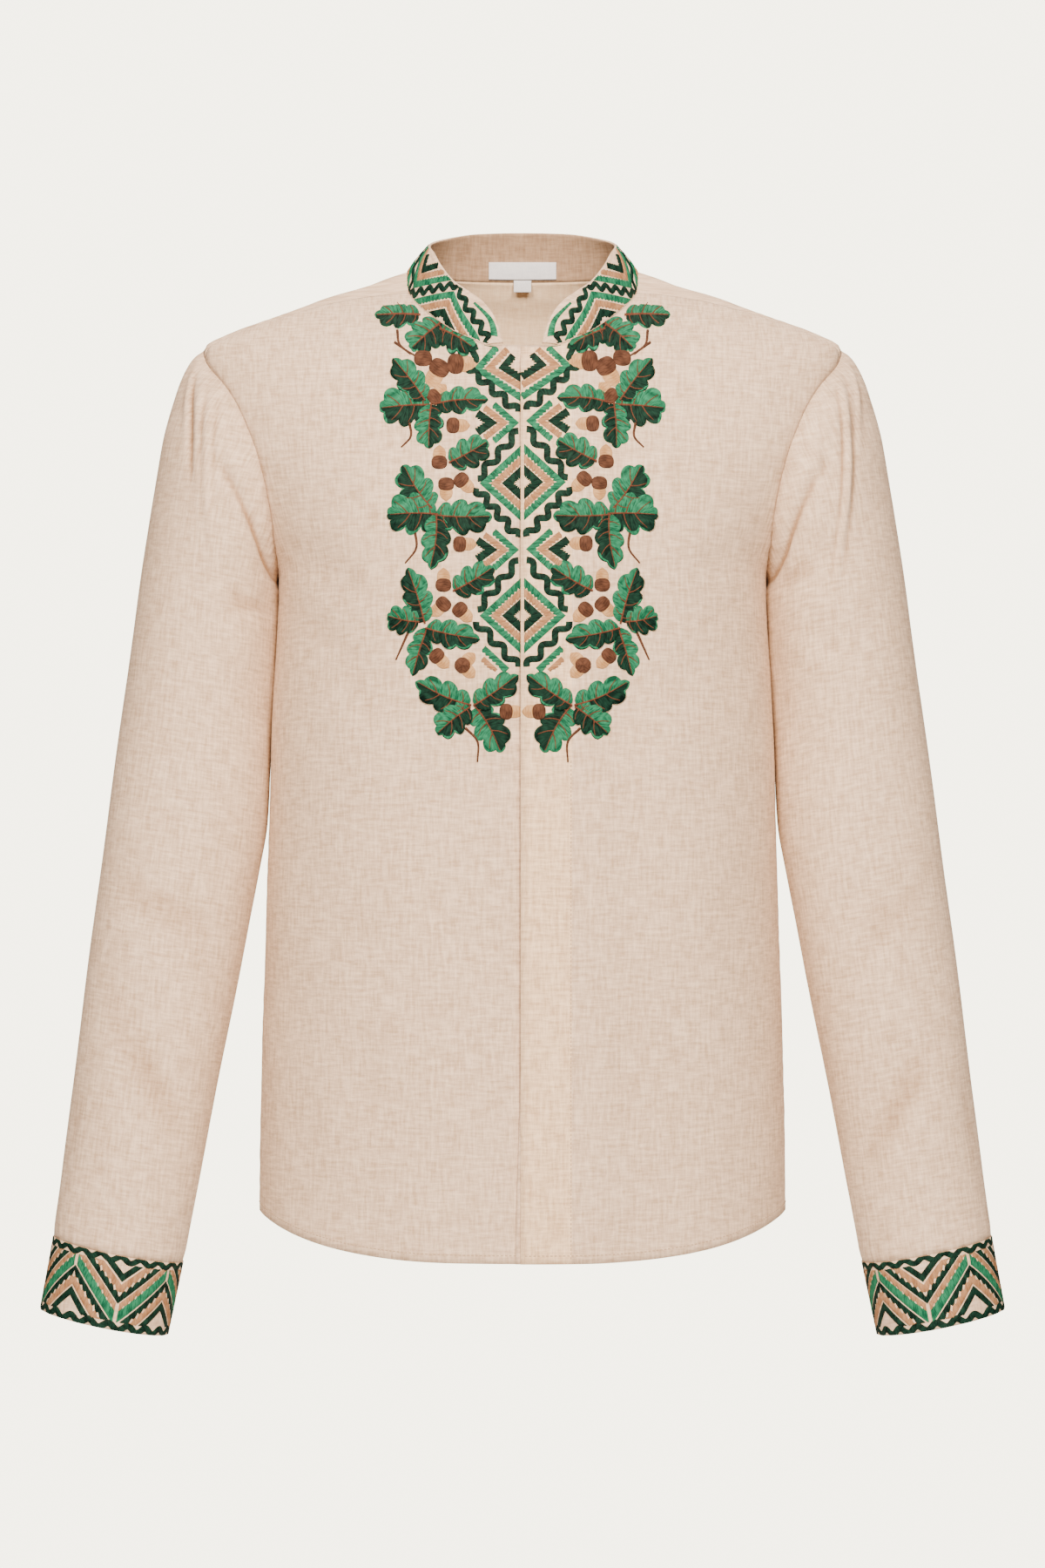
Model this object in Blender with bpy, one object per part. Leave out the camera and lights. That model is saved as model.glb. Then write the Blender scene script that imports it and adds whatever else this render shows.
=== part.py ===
"""A long-sleeved linen shirt with a stand collar and a covered placket, hollow and filled out as when worn.

The origin is on the centre plane, at the height where the shoulders carry the shirt. +Z is up, the front
faces -Y and the wearer's left is at +X. Every piece is a thin wall around a middle surface. The body pieces
share one form, given by its sections. The sleeves, cuffs and collar grow from its armholes and neckline.
"""

import bmesh
import bpy
import numpy as np

# Cloth and seams
WALL = 0.0012
SEAM_GAP = 0.0003
LABEL_WALL = 0.0008
LAYER = WALL + 0.0005  # from one layer of the placket to the next
STRIP_COLUMNS = 3
SEAM_REACH = 0.0008  # how far a mitred edge may run past its seam

# Placket and hem
FOLD_X = -0.0013  # the left front's fold, just past the centre line
UNDERLAY_X = 0.034
PEEK = 0.0034  # how far the underlay's edge comes out at the hem
PEEK_TOP_Z = -0.560
PLACKET_RAISED_TO = 0.046
PLACKET_FLAT_FROM = 0.078
PLACKET_FADE_ROWS = 6
HEM_CENTRE_Z = -0.711
HEM_SIDE_Z = -0.683
HEM_CORNER = 3.2  # a larger number keeps the hem level for longer and turns it up later

# Heights that tie the pieces together
ARMPIT_Z = -0.221
FRONT_NECK_Z = -0.0566
LOWEST_SHOULDER_Z = -0.090
SHOULDER_TIP_ANGLE = 81.0
SHOULDER_TIP_Z = -0.062

# Reference points inside the body and the neck, from which outward is told
BODY_MIDDLE = np.array([0.0, 0.0, -0.350])
NECK_MIDDLE = np.array([0.0, 0.0, 0.0])

# Collar
COLLAR_BELLY = 0.0012
COLLAR_END_GAP = 0.0010

# Mesh
WELD = 0.000005
SHARP_ANGLE = np.radians(50.0)

# Grid counts
COLLAR_ROWS = 3
COLUMNS = 10
BODY_ROWS = 14
FRONT_EDGE_ROWS = 6
BACK_EDGE_ROWS = 7
NECK_STEPS = 2  # steps between two rows of the neckline's table
SLEEVE_RINGS = 16
GATHER_STEPS = 3
HEIGHT_STEPS = 800

# Sections of the body: height, half width, depth to the front and to the back, and how square they are
SECTIONS = [
    # z, half_width, front, back, squareness
    (0.004, 0.0845, 0.0010, 0.0660, 2.0),
    (0.000, 0.0970, 0.0060, 0.0690, 2.0),
    (-0.008, 0.1200, 0.0125, 0.0740, 2.0),
    (-0.015, 0.1430, 0.0225, 0.0800, 2.0),
    (-0.023, 0.1640, 0.0365, 0.0860, 2.0),
    (-0.031, 0.1860, 0.0485, 0.0900, 2.0),
    (-0.038, 0.2050, 0.0575, 0.0935, 2.0),
    (-0.046, 0.2195, 0.0670, 0.0970, 2.0),
    (-0.056, 0.2320, 0.0790, 0.1010, 2.0),
    (-0.080, 0.2365, 0.0980, 0.1100, 2.0),
    (-0.106, 0.2340, 0.1100, 0.1170, 2.0),
    (-0.132, 0.2240, 0.1190, 0.1215, 2.05),
    (-0.160, 0.2070, 0.1260, 0.1245, 2.1),
    (-0.186, 0.1910, 0.1300, 0.1260, 2.2),
    (-0.221, 0.1780, 0.1330, 0.1260, 2.3),
    (-0.300, 0.1815, 0.1330, 0.1210, 2.35),
    (-0.405, 0.1850, 0.1300, 0.1150, 2.35),
    (-0.500, 0.1880, 0.1280, 0.1140, 2.3),
    (-0.600, 0.1910, 0.1280, 0.1160, 2.25),
    (-0.720, 0.1925, 0.1290, 0.1190, 2.2),
]

# The armhole on the form, from the armpit up: angle from the centre front or back, and height
ARMHOLE_FRONT = [
    # angle, z
    (90.0, ARMPIT_Z),
    (80.0, -0.208),
    (70.0, -0.186),
    (62.5, -0.160),
    (58.5, -0.132),
    (60.0, -0.104),
    (67.0, -0.080),
    (SHOULDER_TIP_ANGLE, SHOULDER_TIP_Z),
]
ARMHOLE_BACK = [
    # angle, z
    (90.0, ARMPIT_Z),
    (80.0, -0.208),
    (70.0, -0.186),
    (63.0, -0.160),
    (60.0, -0.132),
    (62.0, -0.104),
    (70.0, -0.078),
    (80.0, -0.062),
    (90.0, -0.056),
    (180.0 - SHOULDER_TIP_ANGLE, SHOULDER_TIP_Z),
]

# Neckline and collar, from the centre back round to the front end: seam point, then the point on the top edge
NECK = [
    # seam_x, seam_y, top_x, top_y, top_z
    (0.0000, 0.0660, 0.0000, 0.0610, 0.0405),
    (0.0220, 0.0637, 0.0200, 0.0590, 0.0400),
    (0.0440, 0.0562, 0.0385, 0.0520, 0.0382),
    (0.0640, 0.0428, 0.0550, 0.0385, 0.0338),
    (0.0785, 0.0238, 0.0655, 0.0210, 0.0290),
    (0.0843, 0.0030, 0.0680, 0.0040, 0.0242),
    (0.0830, -0.0140, 0.0645, -0.0095, 0.0178),
    (0.0760, -0.0320, 0.0590, -0.0240, 0.0070),
    (0.0635, -0.0500, 0.0495, -0.0420, -0.0062),
    (0.0509, -0.0630, 0.0380, -0.0550, -0.0155),
    (0.0402, -0.0705, 0.0278, -0.0650, -0.0240),
    (0.0313, -0.0757, 0.0196, -0.0735, -0.0365),
    (0.0263, -0.0785, 0.0140, -0.0800, -0.0545),
]
NECK_SPLIT = 6  # the row where the shoulder seam meets the neckline

# Sleeve: its outer and inner lines seen from the front, its half depth and middle, and how round it is
SLEEVE = [
    # outer_x, outer_z, inner_x, inner_z, half_depth, middle_y, roundness
    (0.2320, -0.0560, 0.1780, -0.2210, 0.0610, 0.000, 0.00),
    (0.2405, -0.0635, 0.1806, -0.2250, 0.0640, 0.000, 0.10),
    (0.2485, -0.0770, 0.1809, -0.2320, 0.0665, -0.001, 0.25),
    (0.2550, -0.0940, 0.1812, -0.2400, 0.0675, -0.001, 0.40),
    (0.2620, -0.1180, 0.1816, -0.2510, 0.0675, -0.002, 0.56),
    (0.2675, -0.1470, 0.1821, -0.2660, 0.0665, -0.002, 0.72),
    (0.2730, -0.1790, 0.1828, -0.2850, 0.0645, -0.003, 0.85),
    (0.2790, -0.2170, 0.1837, -0.3080, 0.0620, -0.003, 0.95),
    (0.2847, -0.2580, 0.1845, -0.3340, 0.0600, -0.004, 1.00),
    (0.2915, -0.3080, 0.1857, -0.3660, 0.0580, -0.005, 1.00),
    (0.2983, -0.3590, 0.1876, -0.4000, 0.0565, -0.007, 1.00),
    (0.3052, -0.4100, 0.1935, -0.4360, 0.0550, -0.009, 1.00),
    (0.3118, -0.4610, 0.2025, -0.4820, 0.0535, -0.011, 1.00),
    (0.3246, -0.5630, 0.2222, -0.5830, 0.0505, -0.016, 1.00),
    (0.3368, -0.6650, 0.2417, -0.6840, 0.0470, -0.021, 1.00),
    (0.3414, -0.7005, 0.2487, -0.7195, 0.0455, -0.023, 1.00),
    (0.3506, -0.7530, 0.2595, -0.7720, 0.0445, -0.026, 1.00),
]
CUFF_SECTIONS = 2  # the last sections of the sleeve's table bound the cuff
CUFF_RINGS = 2
SLEEVE_GIRTH = 0.40  # turns a place round the tube into a length, for the gathers and folds
HEAD_RISE = 0.012  # the gathers and folds start this far below the armhole's seam

# Gathers at the sleeve's head. The place runs round the armhole from the armpit (0) up the front and back (1)
GATHERS = [
    # place, width, length, height
    (0.400, 0.016, 0.060, 0.0020),
    (0.434, 0.012, 0.120, 0.0042),
    (0.462, 0.010, 0.050, 0.0022),
    (0.530, 0.012, 0.050, 0.0022),
    (0.562, 0.013, 0.100, 0.0036),
    (0.600, 0.016, 0.055, 0.0020),
]

# Folds of the sleeve: place round the tube and distance down it, at both ends, then width and depth
SLEEVE_FOLDS = [
    # start_place, start_run, end_place, end_run, width, depth
    (0.10, 0.020, 0.30, 0.120, 0.018, 0.0040),
    (0.06, 0.075, 0.24, 0.230, 0.022, 0.0032),
    (0.90, 0.030, 0.70, 0.140, 0.020, 0.0036),
    (0.95, 0.090, 0.78, 0.240, 0.022, 0.0028),
    (0.18, 0.330, 0.40, 0.385, 0.020, 0.0022),
    (0.85, 0.350, 0.62, 0.420, 0.022, 0.0022),
    (0.12, 0.440, 0.34, 0.480, 0.018, 0.0018),
]

# Soft folds of the body, as seen from the front (side 1) or the back (side -1): both ends, width and depth
BODY_FOLDS = [
    # side, start_x, start_z, end_x, end_z, width, depth
    (1, 0.172, -0.245, 0.095, -0.330, 0.024, 0.0030),
    (1, 0.165, -0.190, 0.118, -0.250, 0.020, 0.0026),
    (1, 0.120, -0.480, 0.105, -0.700, 0.028, 0.0024),
    (1, 0.160, -0.400, 0.150, -0.690, 0.020, 0.0020),
    (-1, 0.170, -0.245, 0.090, -0.350, 0.026, 0.0034),
    (-1, 0.062, -0.090, 0.050, -0.330, 0.026, 0.0026),
    (-1, 0.112, -0.450, 0.095, -0.700, 0.030, 0.0030),
    (-1, 0.155, -0.420, 0.145, -0.690, 0.022, 0.0022),
]

# Label and tag inside the collar's back
LABEL_HALF_WIDTH = 0.0252
LABEL_BAND = (0.13, 0.50)  # its lower and upper edges, as shares of the collar's height
TAG_HALF_WIDTH = 0.0065
TAG_BAND = (-0.10, 0.115)
LABEL_CLEARANCE = 0.0004
LABEL_ROWS = 3

COLOURS = {
    # name: (red, green, blue, roughness)
    "linen": (0.66, 0.56, 0.46, 0.85),
    "embroidery": (0.10, 0.24, 0.15, 0.65),
    "label": (0.78, 0.78, 0.80, 0.60),
}


def clear_scene():
    """Removes every object of the scene."""
    for thing in list(bpy.data.objects):
        bpy.data.objects.remove(thing, do_unlink=True)


def unit(vectors):
    """The vectors at length one."""
    return vectors / np.maximum(np.linalg.norm(vectors, axis=-1, keepdims=True), 1e-12)


def smooth_step(x):
    """0 below 0, 1 above 1, with a soft start and end."""
    x = np.clip(x, 0.0, 1.0)
    return x * x * (3.0 - 2.0 * x)


def curve_through(knots, values, places):
    """A curve through the values at the knots that doesn't overshoot, read at the places."""
    knots = np.asarray(knots, float)
    values = np.asarray(values, float)
    steps = np.diff(knots)
    slopes = np.diff(values) / steps
    tangents = np.empty_like(values)
    tangents[0] = slopes[0]
    tangents[-1] = slopes[-1]
    before, after = slopes[:-1], slopes[1:]
    same_way = before * after > 0
    mean = np.where(same_way, 2.0 * before * after / np.where(same_way, before + after, 1.0), 0.0)
    tangents[1:-1] = mean
    places = np.clip(places, knots[0], knots[-1])
    k = np.clip(np.searchsorted(knots, places) - 1, 0, len(steps) - 1)
    t = (places - knots[k]) / steps[k]
    start = (1 + 2 * t) * (1 - t) ** 2 * values[k] + t * (1 - t) ** 2 * steps[k] * tangents[k]
    end = t * t * (3 - 2 * t) * values[k + 1] + t * t * (t - 1) * steps[k] * tangents[k + 1]
    return start + end


def path_through(points, places):
    """A soft path through the points, read at places from 0 to the number of points less one."""
    points = np.asarray(points, float)
    places = np.asarray(places, float)
    tangents = np.gradient(points, axis=0)
    k = np.clip(np.floor(places).astype(int), 0, len(points) - 2)
    t = (places - k)[:, None]
    start = (1 + 2 * t) * (1 - t) ** 2 * points[k] + t * (1 - t) ** 2 * tangents[k]
    end = t * t * (3 - 2 * t) * points[k + 1] + t * t * (t - 1) * tangents[k + 1]
    return start + end


def spaced_path(points, count, measure=lambda p: p):
    """A path through the points, read at count places that are evenly spaced as measured."""
    fine = path_through(points, np.linspace(0, len(points) - 1, 40 * len(points)))
    steps = np.linalg.norm(np.diff(measure(fine), axis=0), axis=1)
    run = np.concatenate([[0.0], np.cumsum(steps)])
    places = np.linspace(0.0, run[-1], count)
    return np.stack([np.interp(places, run, fine[:, c]) for c in range(fine.shape[1])], axis=1)


def section_value(column, z):
    """One column of the body's sections, read at the heights z."""
    table = np.array(SECTIONS)[::-1]
    return curve_through(table[:, 0], table[:, column], np.asarray(z, float))


def body_point(angle, z, side):
    """The form's point at an angle from the centre front (side 1) or back (side -1), in degrees.

    Past 90 degrees the point lies over the shoulder, on the other side.
    """
    turn = np.radians(angle)
    power = 2.0 / section_value(4, z)
    x = section_value(1, z) * np.abs(np.sin(turn)) ** power
    own, other = (2, 3) if side > 0 else (3, 2)
    near = section_value(own, z) * np.abs(np.cos(turn)) ** power
    far = section_value(other, z) * np.abs(np.cos(turn)) ** power
    y = np.where(np.cos(turn) >= 0, -side * near, side * far)
    return np.stack([x, y, np.asarray(z, float) + 0.0 * x], axis=-1)


def body_angle(x, y, z, side):
    """The angle of a point of the form from the centre front or back, past 90 on the other side."""
    column = np.where(y <= 0.0, section_value(2, z), section_value(3, z))
    power = section_value(4, z) / 2.0
    across = (np.abs(x) / section_value(1, z)) ** power
    deep = (np.abs(y) / column) ** power
    angle = np.degrees(np.arctan2(across, deep))
    return np.where(side * y <= 0.0, angle, 180.0 - angle)


def body_height(x, y):
    """The height at which the form passes over points seen from above, near the shoulders and the neck."""
    heights = np.linspace(SECTIONS[0][0], LOWEST_SHOULDER_Z, HEIGHT_STEPS)[None, :]
    x, y = np.asarray(x, float)[:, None], np.asarray(y, float)[:, None]
    deep = np.where(y <= 0.0, section_value(2, heights), section_value(3, heights))
    power = section_value(4, heights)
    reach = (np.abs(x) / section_value(1, heights)) ** power + (np.abs(y) / deep) ** power
    first = np.argmax(reach <= 1.0, axis=1)
    rows = np.arange(len(first))
    before = np.maximum(first - 1, 0)
    high, low = reach[rows, before], reach[rows, first]
    share = np.where(first > 0, (high - 1.0) / np.maximum(high - low, 1e-9), 0.0)
    return heights[0, before] + share * (heights[0, first] - heights[0, before])


def shoulder_seam(count):
    """The shoulder seam as (angle from the centre front, height), from the neck to the sleeve."""
    neck = NECK[NECK_SPLIT][:2]
    tip = body_point(SHOULDER_TIP_ANGLE, SHOULDER_TIP_Z, 1)[:2]
    x = np.linspace(neck[0], tip[0], count)
    y = np.linspace(neck[1], tip[1], count)
    z = body_height(x, y)
    return np.stack([body_angle(x, y, z, 1), z], axis=1)


def neck_places(first, last):
    """Places along the neckline's table between two of its rows."""
    return np.linspace(first, last, (last - first) * NECK_STEPS + 1)


def neck_seam(places):
    """The seam between the body and the collar. It lies on the form."""
    plan = path_through(np.array(NECK)[:, 0:2], places)
    return np.concatenate([plan, body_height(plan[:, 0], plan[:, 1])[:, None]], axis=1)


def collar_top(places):
    """The collar's top edge."""
    return path_through(np.array(NECK)[:, 2:5], places)


def hem_height(angle):
    """The hem's height: level at the centre, turned up at the side seams."""
    share = np.abs(np.sin(np.radians(angle))) ** HEM_CORNER
    return HEM_CENTRE_Z + (HEM_SIDE_Z - HEM_CENTRE_Z) * share


def armhole(table, count, side):
    """The armhole's edge as (angle, height), evenly spaced from the armpit to the shoulder seam."""
    return spaced_path(table, count, lambda p: body_point(p[:, 0], p[:, 1], side))


def fold_depth(points, side):
    """How far the soft folds push the body's surface in at the points."""
    depth = np.zeros(points.shape[:-1])
    for fold_side, x0, z0, x1, z1, width, deepest in BODY_FOLDS:
        if fold_side != side:
            continue
        start = np.array([x0, z0])
        along = np.array([x1, z1]) - start
        place = points[..., [0, 2]] - start
        share = np.clip((place @ along) / (along @ along), 0.0, 1.0)
        off = np.linalg.norm(place - share[..., None] * along, axis=-1)
        fade = np.sin(np.pi * np.clip(0.08 + 0.84 * share, 0.0, 1.0))
        depth += deepest * fade * np.exp(-((off / width) ** 2))
    return depth


def half_body(side):
    """Half of the front (side 1) or the back (side -1): rows from the hem up, columns from the centre out.

    The edges are curves on the form. The rows between them are blended in angle and height.
    """
    edge_rows = FRONT_EDGE_ROWS if side > 0 else BACK_EDGE_ROWS
    top_z = FRONT_NECK_Z if side > 0 else SECTIONS[0][0]
    lower = np.linspace(HEM_CENTRE_Z, ARMPIT_Z, BODY_ROWS + 1)[:-1]
    upper = np.linspace(ARMPIT_Z, top_z, edge_rows + 1)
    centre = np.concatenate([lower, upper])
    if side > 0:
        neck_rows = neck_places(NECK_SPLIT, len(NECK) - 1)[::-1]
    else:
        neck_rows = neck_places(0, NECK_SPLIT)[1:]
    seam = neck_seam(neck_rows)
    seam_angle = body_angle(seam[:, 0], seam[:, 1], seam[:, 2], side)
    left = np.concatenate([
        np.stack([0.0 * centre, centre], axis=1),
        np.stack([seam_angle, seam[:, 2]], axis=1),
    ])
    table = ARMHOLE_FRONT if side > 0 else ARMHOLE_BACK
    hole = armhole(table, len(left) - BODY_ROWS, side)
    side_z = np.linspace(HEM_SIDE_Z, ARMPIT_Z, BODY_ROWS + 1)[:-1]
    right = np.concatenate([np.stack([90.0 + 0.0 * side_z, side_z], axis=1), hole])
    u = np.linspace(0.0, 1.0, COLUMNS + 1)[None, :, None]
    v = np.linspace(0.0, 1.0, len(left))[:, None, None]
    plan = (1 - u) * left[:, None, :] + u * right[:, None, :]
    hem_angles = np.linspace(0.0, 90.0, COLUMNS + 1)
    hem = np.stack([hem_angles, hem_height(hem_angles)], axis=1)[None]
    seam_line = shoulder_seam(COLUMNS + 1)
    if side < 0:
        seam_line[:, 0] = 180.0 - seam_line[:, 0]
    plan = plan + (1 - v) ** 4 * (hem - plan[:1]) + v**8 * (seam_line[None] - plan[-1:])
    points = body_point(plan[..., 0], plan[..., 1], side)
    first_neck_row = len(left) - len(seam)
    points[first_neck_row:, 0] = seam
    points[:, 0, 0] = np.where(np.arange(len(left)) < first_neck_row, 0.0, points[:, 0, 0])
    calm = smooth_step(4.0 * u[0, :, 0] * (1 - u[0, :, 0]))[None, :]
    outward = grid_normals(points, False, BODY_MIDDLE)
    points = points - outward * (fold_depth(points, side) * calm)[..., None]
    return points, first_neck_row


def grid_normals(grid, closed, centre):
    """The unit normals of a grid of points, pointing away from the centre."""
    down = np.gradient(grid, axis=0)
    if closed:
        across = (np.roll(grid, -1, axis=1) - np.roll(grid, 1, axis=1)) / 2.0
    else:
        across = np.gradient(grid, axis=1)
    normals = unit(np.cross(down, across))
    outward = np.sum(normals * (grid - centre))
    return normals if outward > 0 else -normals


def armhole_loop(front, back):
    """The armhole's points from the armpit up the front, over the shoulder and down the back."""
    front_edge = front[BODY_ROWS:, -1]
    back_edge = back[BODY_ROWS:, -1]
    return np.concatenate([front_edge, back_edge[::-1][1:-1]]), len(front_edge)


def sleeve_places(loop):
    """Where the sleeve's columns lie along the armhole, as fractional indices: closer at the gathers."""
    closed = np.concatenate([loop, loop[:1]])
    run = np.concatenate([[0.0], np.cumsum(np.linalg.norm(np.diff(closed, axis=0), axis=1))])
    share = run / run[-1]
    first, last = GATHERS[0][0] - 0.03, GATHERS[-1][0] + 0.03
    places = []
    for k in range(len(loop)):
        steps = GATHER_STEPS if first < (share[k] + share[k + 1]) / 2 < last else 1
        places.extend(k + np.arange(steps) / steps)
    return np.array(places), share


def read_closed(values, places):
    """Values of a closed row, read between their indices."""
    closed = np.concatenate([values, values[:1]])
    k = np.floor(places).astype(int)
    t = (places - k).reshape((-1,) + (1,) * (values.ndim - 1))
    return (1 - t) * closed[k] + t * closed[k + 1]


def sleeve_grid(loop):
    """The sleeve and the cuff as one grid of rings, the armhole first.

    It comes with each column's place along the armhole's points, and the columns that lie on those points.
    """
    places, share = sleeve_places(loop)
    start = read_closed(loop, places)
    turn = np.interp(places, np.arange(len(share)), share)
    top_share = share[np.argmax(loop[:, 2])]
    on_front = np.pi * (1 - turn / top_share)
    on_back = np.pi * (top_share - turn) / (1 - top_share)
    angle = np.where(turn < top_share, on_front, on_back)
    table = np.array(SLEEVE)
    knots = np.arange(len(table), dtype=float)
    cuff_start = len(table) - CUFF_SECTIONS
    sleeve_stations = np.linspace(0.0, cuff_start, SLEEVE_RINGS + 1)
    cuff_stations = cuff_start + np.linspace(0.0, 1.0, CUFF_RINGS + 1)
    stations = np.concatenate([sleeve_stations, cuff_stations[1:]])
    columns = [curve_through(knots, table[:, c], stations) for c in range(table.shape[1])]
    rows = np.stack(columns, axis=1)
    outer, inner = rows[:, 0:2], rows[:, 2:4]
    middle = (outer + inner) / 2.0
    half = (outer - inner) / 2.0
    length = np.linalg.norm(half, axis=1, keepdims=True)
    across = half / length
    normal = np.stack([across[:, 1], -across[:, 0]], axis=1)
    offset = start[:, [0, 2]] - middle[0]
    alpha = offset @ across[0] / length[0]
    gamma = offset @ normal[0]
    beta = start[:, 1]
    roundness = rows[:, 6:7]
    reach = (1 - roundness) * alpha + roundness * np.cos(angle)
    depth_share = rows[:, 4:5] / SLEEVE[0][4]
    depth = (1 - roundness) * beta * depth_share - roundness * rows[:, 4:5] * np.sin(angle)
    lean = (1 - roundness) * gamma
    flat = middle[:, None] + reach[..., None] * half[:, None] + lean[..., None] * normal[:, None]
    grid = np.stack([flat[..., 0], depth + rows[:, 5:6], flat[..., 1]], axis=-1)
    corners = np.searchsorted(places, np.arange(len(loop)) - 1e-9)
    return {"grid": fold_sleeve(grid, turn), "places": places, "corners": corners}


def fold_sleeve(grid, turn):
    """Raises the gathers at the sleeve's head and presses its folds in."""
    centres = grid.mean(axis=1, keepdims=True)
    normals = grid_normals(grid, True, centres)
    steps = np.linalg.norm(np.diff(grid, axis=0), axis=2)
    run = np.concatenate([np.zeros((1, grid.shape[1])), np.cumsum(steps, axis=0)])
    lift = np.zeros(grid.shape[:2])
    for place, width, length, height in GATHERS:
        off = (turn[None, :] - place) * SLEEVE_GIRTH
        along = 1.0 - smooth_step(run / length)
        lift += height * along * np.exp(-((off / (0.42 * width)) ** 2))
    for start_place, start_run, end_place, end_run, width, depth in SLEEVE_FOLDS:
        start = np.array([start_place * SLEEVE_GIRTH, start_run])
        ahead = np.array([end_place * SLEEVE_GIRTH, end_run]) - start
        around = np.broadcast_to(turn[None, :] * SLEEVE_GIRTH, run.shape)
        spot = np.stack([around, run], axis=-1) - start
        share = np.clip((spot @ ahead) / (ahead @ ahead), 0.0, 1.0)
        off = np.linalg.norm(spot - share[..., None] * ahead, axis=-1)
        lift -= depth * np.sin(np.pi * (0.1 + 0.8 * share)) * np.exp(-((off / width) ** 2))
    lift *= smooth_step(run / HEAD_RISE)
    lift[-(CUFF_RINGS + 1):] = 0.0
    return grid + normals * lift[..., None]


def collar_grid():
    """Half of the collar: rows from the seam up, columns from the centre back to the front end."""
    places = neck_places(0, len(NECK) - 1)
    seam = neck_seam(places)
    top = collar_top(places)
    seam[0, 0] = 0.0
    top[0, 0] = 0.0
    share = np.linspace(0.0, 1.0, COLLAR_ROWS + 1)[:, None, None]
    grid = (1 - share) * seam[None] + share * top[None]
    grid[:, -1] += np.array([0.0, 0.0, COLLAR_END_GAP])
    belly = COLLAR_BELLY * np.sin(np.pi * share)
    grid = grid + grid_normals(grid, False, NECK_MIDDLE) * belly
    grid[:, 0, 0] = 0.0
    return grid


def boundary(shape, weld_to=0):
    """The indices round a grid's edge. The first column is left out up to the row weld_to."""
    last_row, last_column = shape[0] - 1, shape[1] - 1
    index = np.arange(shape[0] * shape[1]).reshape(shape[:2])
    left = index[weld_to:, 0]
    top = index[last_row, 1:]
    right = index[:last_row, last_column][::-1]
    bottom = index[0, :last_column][::-1]
    return np.concatenate([left, top, right, bottom])


def seam_moves(moves, grid, normals, place, inward, neighbour, closed=False, from_armpit=False):
    """Moves an edge's outer and inner points so that two walls meet in a mitre with half the gap each.

    The mitre's plane halves the angle between this piece's surface and its neighbour's.
    """
    rim = grid[place]
    if closed:
        tangent = unit(np.roll(rim, -1, axis=0) - np.roll(rim, 1, axis=0))
    else:
        tangent = unit(np.gradient(rim, axis=0))
    if from_armpit:
        tangent[0] = (0.0, 1.0, 0.0)
    own = unit(inward - np.sum(inward * tangent, axis=-1, keepdims=True) * tangent)
    theirs = unit(neighbour - np.sum(neighbour * tangent, axis=-1, keepdims=True) * tangent)
    plane = unit(own - theirs)
    steep = np.maximum(np.sum(own * plane, axis=-1, keepdims=True), 0.2)
    lean = np.sum(normals[place] * plane, axis=-1, keepdims=True) * WALL / 2.0
    moves[0][place] += np.maximum((SEAM_GAP / 2.0 - lean) / steep, -SEAM_REACH) * own
    moves[1][place] += np.maximum((SEAM_GAP / 2.0 + lean) / steep, -SEAM_REACH) * own


def wall_faces(shape, closed, edges):
    """The triangles of a wall: the outer grid, the inner grid and the rims along the edges.

    Every step of the grid is split along the same diagonal, so that layers made from one grid stay parallel.
    """
    count = shape[0] * shape[1]
    index = np.arange(count).reshape(shape[:2])
    if closed:
        index = np.concatenate([index, index[:, :1]], axis=1)
    a, b = index[:-1, :-1].ravel(), index[:-1, 1:].ravel()
    c, d = index[1:, 1:].ravel(), index[1:, :-1].ravel()
    outer = np.concatenate([np.stack([a, b, c], axis=1), np.stack([a, c, d], axis=1)])
    faces = [outer, outer[:, ::-1] + count]
    for edge in edges:
        start, end = edge[:-1], edge[1:]
        faces.append(np.stack([end, start, start + count], axis=1))
        faces.append(np.stack([end, start + count, end + count], axis=1))
    return np.concatenate(faces)


def add_piece(name, walls, colour):
    """Makes one piece from walls given as (outer points, inner points, faces), welded where they meet."""
    points = []
    faces = []
    start = 0
    for outer, inner, wall in walls:
        points.append(np.concatenate([outer.reshape(-1, 3), inner.reshape(-1, 3)]))
        faces.append(wall + start)
        start += len(points[-1])
    mesh = bpy.data.meshes.new(name)
    mesh.from_pydata(np.concatenate(points).tolist(), [], np.concatenate(faces).tolist())
    work = bmesh.new()
    work.from_mesh(mesh)
    bmesh.ops.remove_doubles(work, verts=work.verts, dist=WELD)
    bmesh.ops.recalc_face_normals(work, faces=work.faces)
    if work.calc_volume(signed=True) < 0.0:
        bmesh.ops.reverse_faces(work, faces=work.faces)
    work.to_mesh(mesh)
    work.free()
    mesh.materials.append(material(colour))
    mesh.shade_smooth()
    mesh.set_sharp_from_angle(angle=SHARP_ANGLE)
    thing = bpy.data.objects.new(name, mesh)
    bpy.context.collection.objects.link(thing)
    return thing


def material(name):
    """The cloth's material, made once."""
    if name in bpy.data.materials:
        return bpy.data.materials[name]
    red, green, blue, roughness = COLOURS[name]
    made = bpy.data.materials.new(name)
    made.use_nodes = True
    shader = made.node_tree.nodes["Principled BSDF"]
    shader.inputs["Base Color"].default_value = (red, green, blue, 1.0)
    shader.inputs["Roughness"].default_value = roughness
    shader.inputs["Metallic"].default_value = 0.0
    return made


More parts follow.
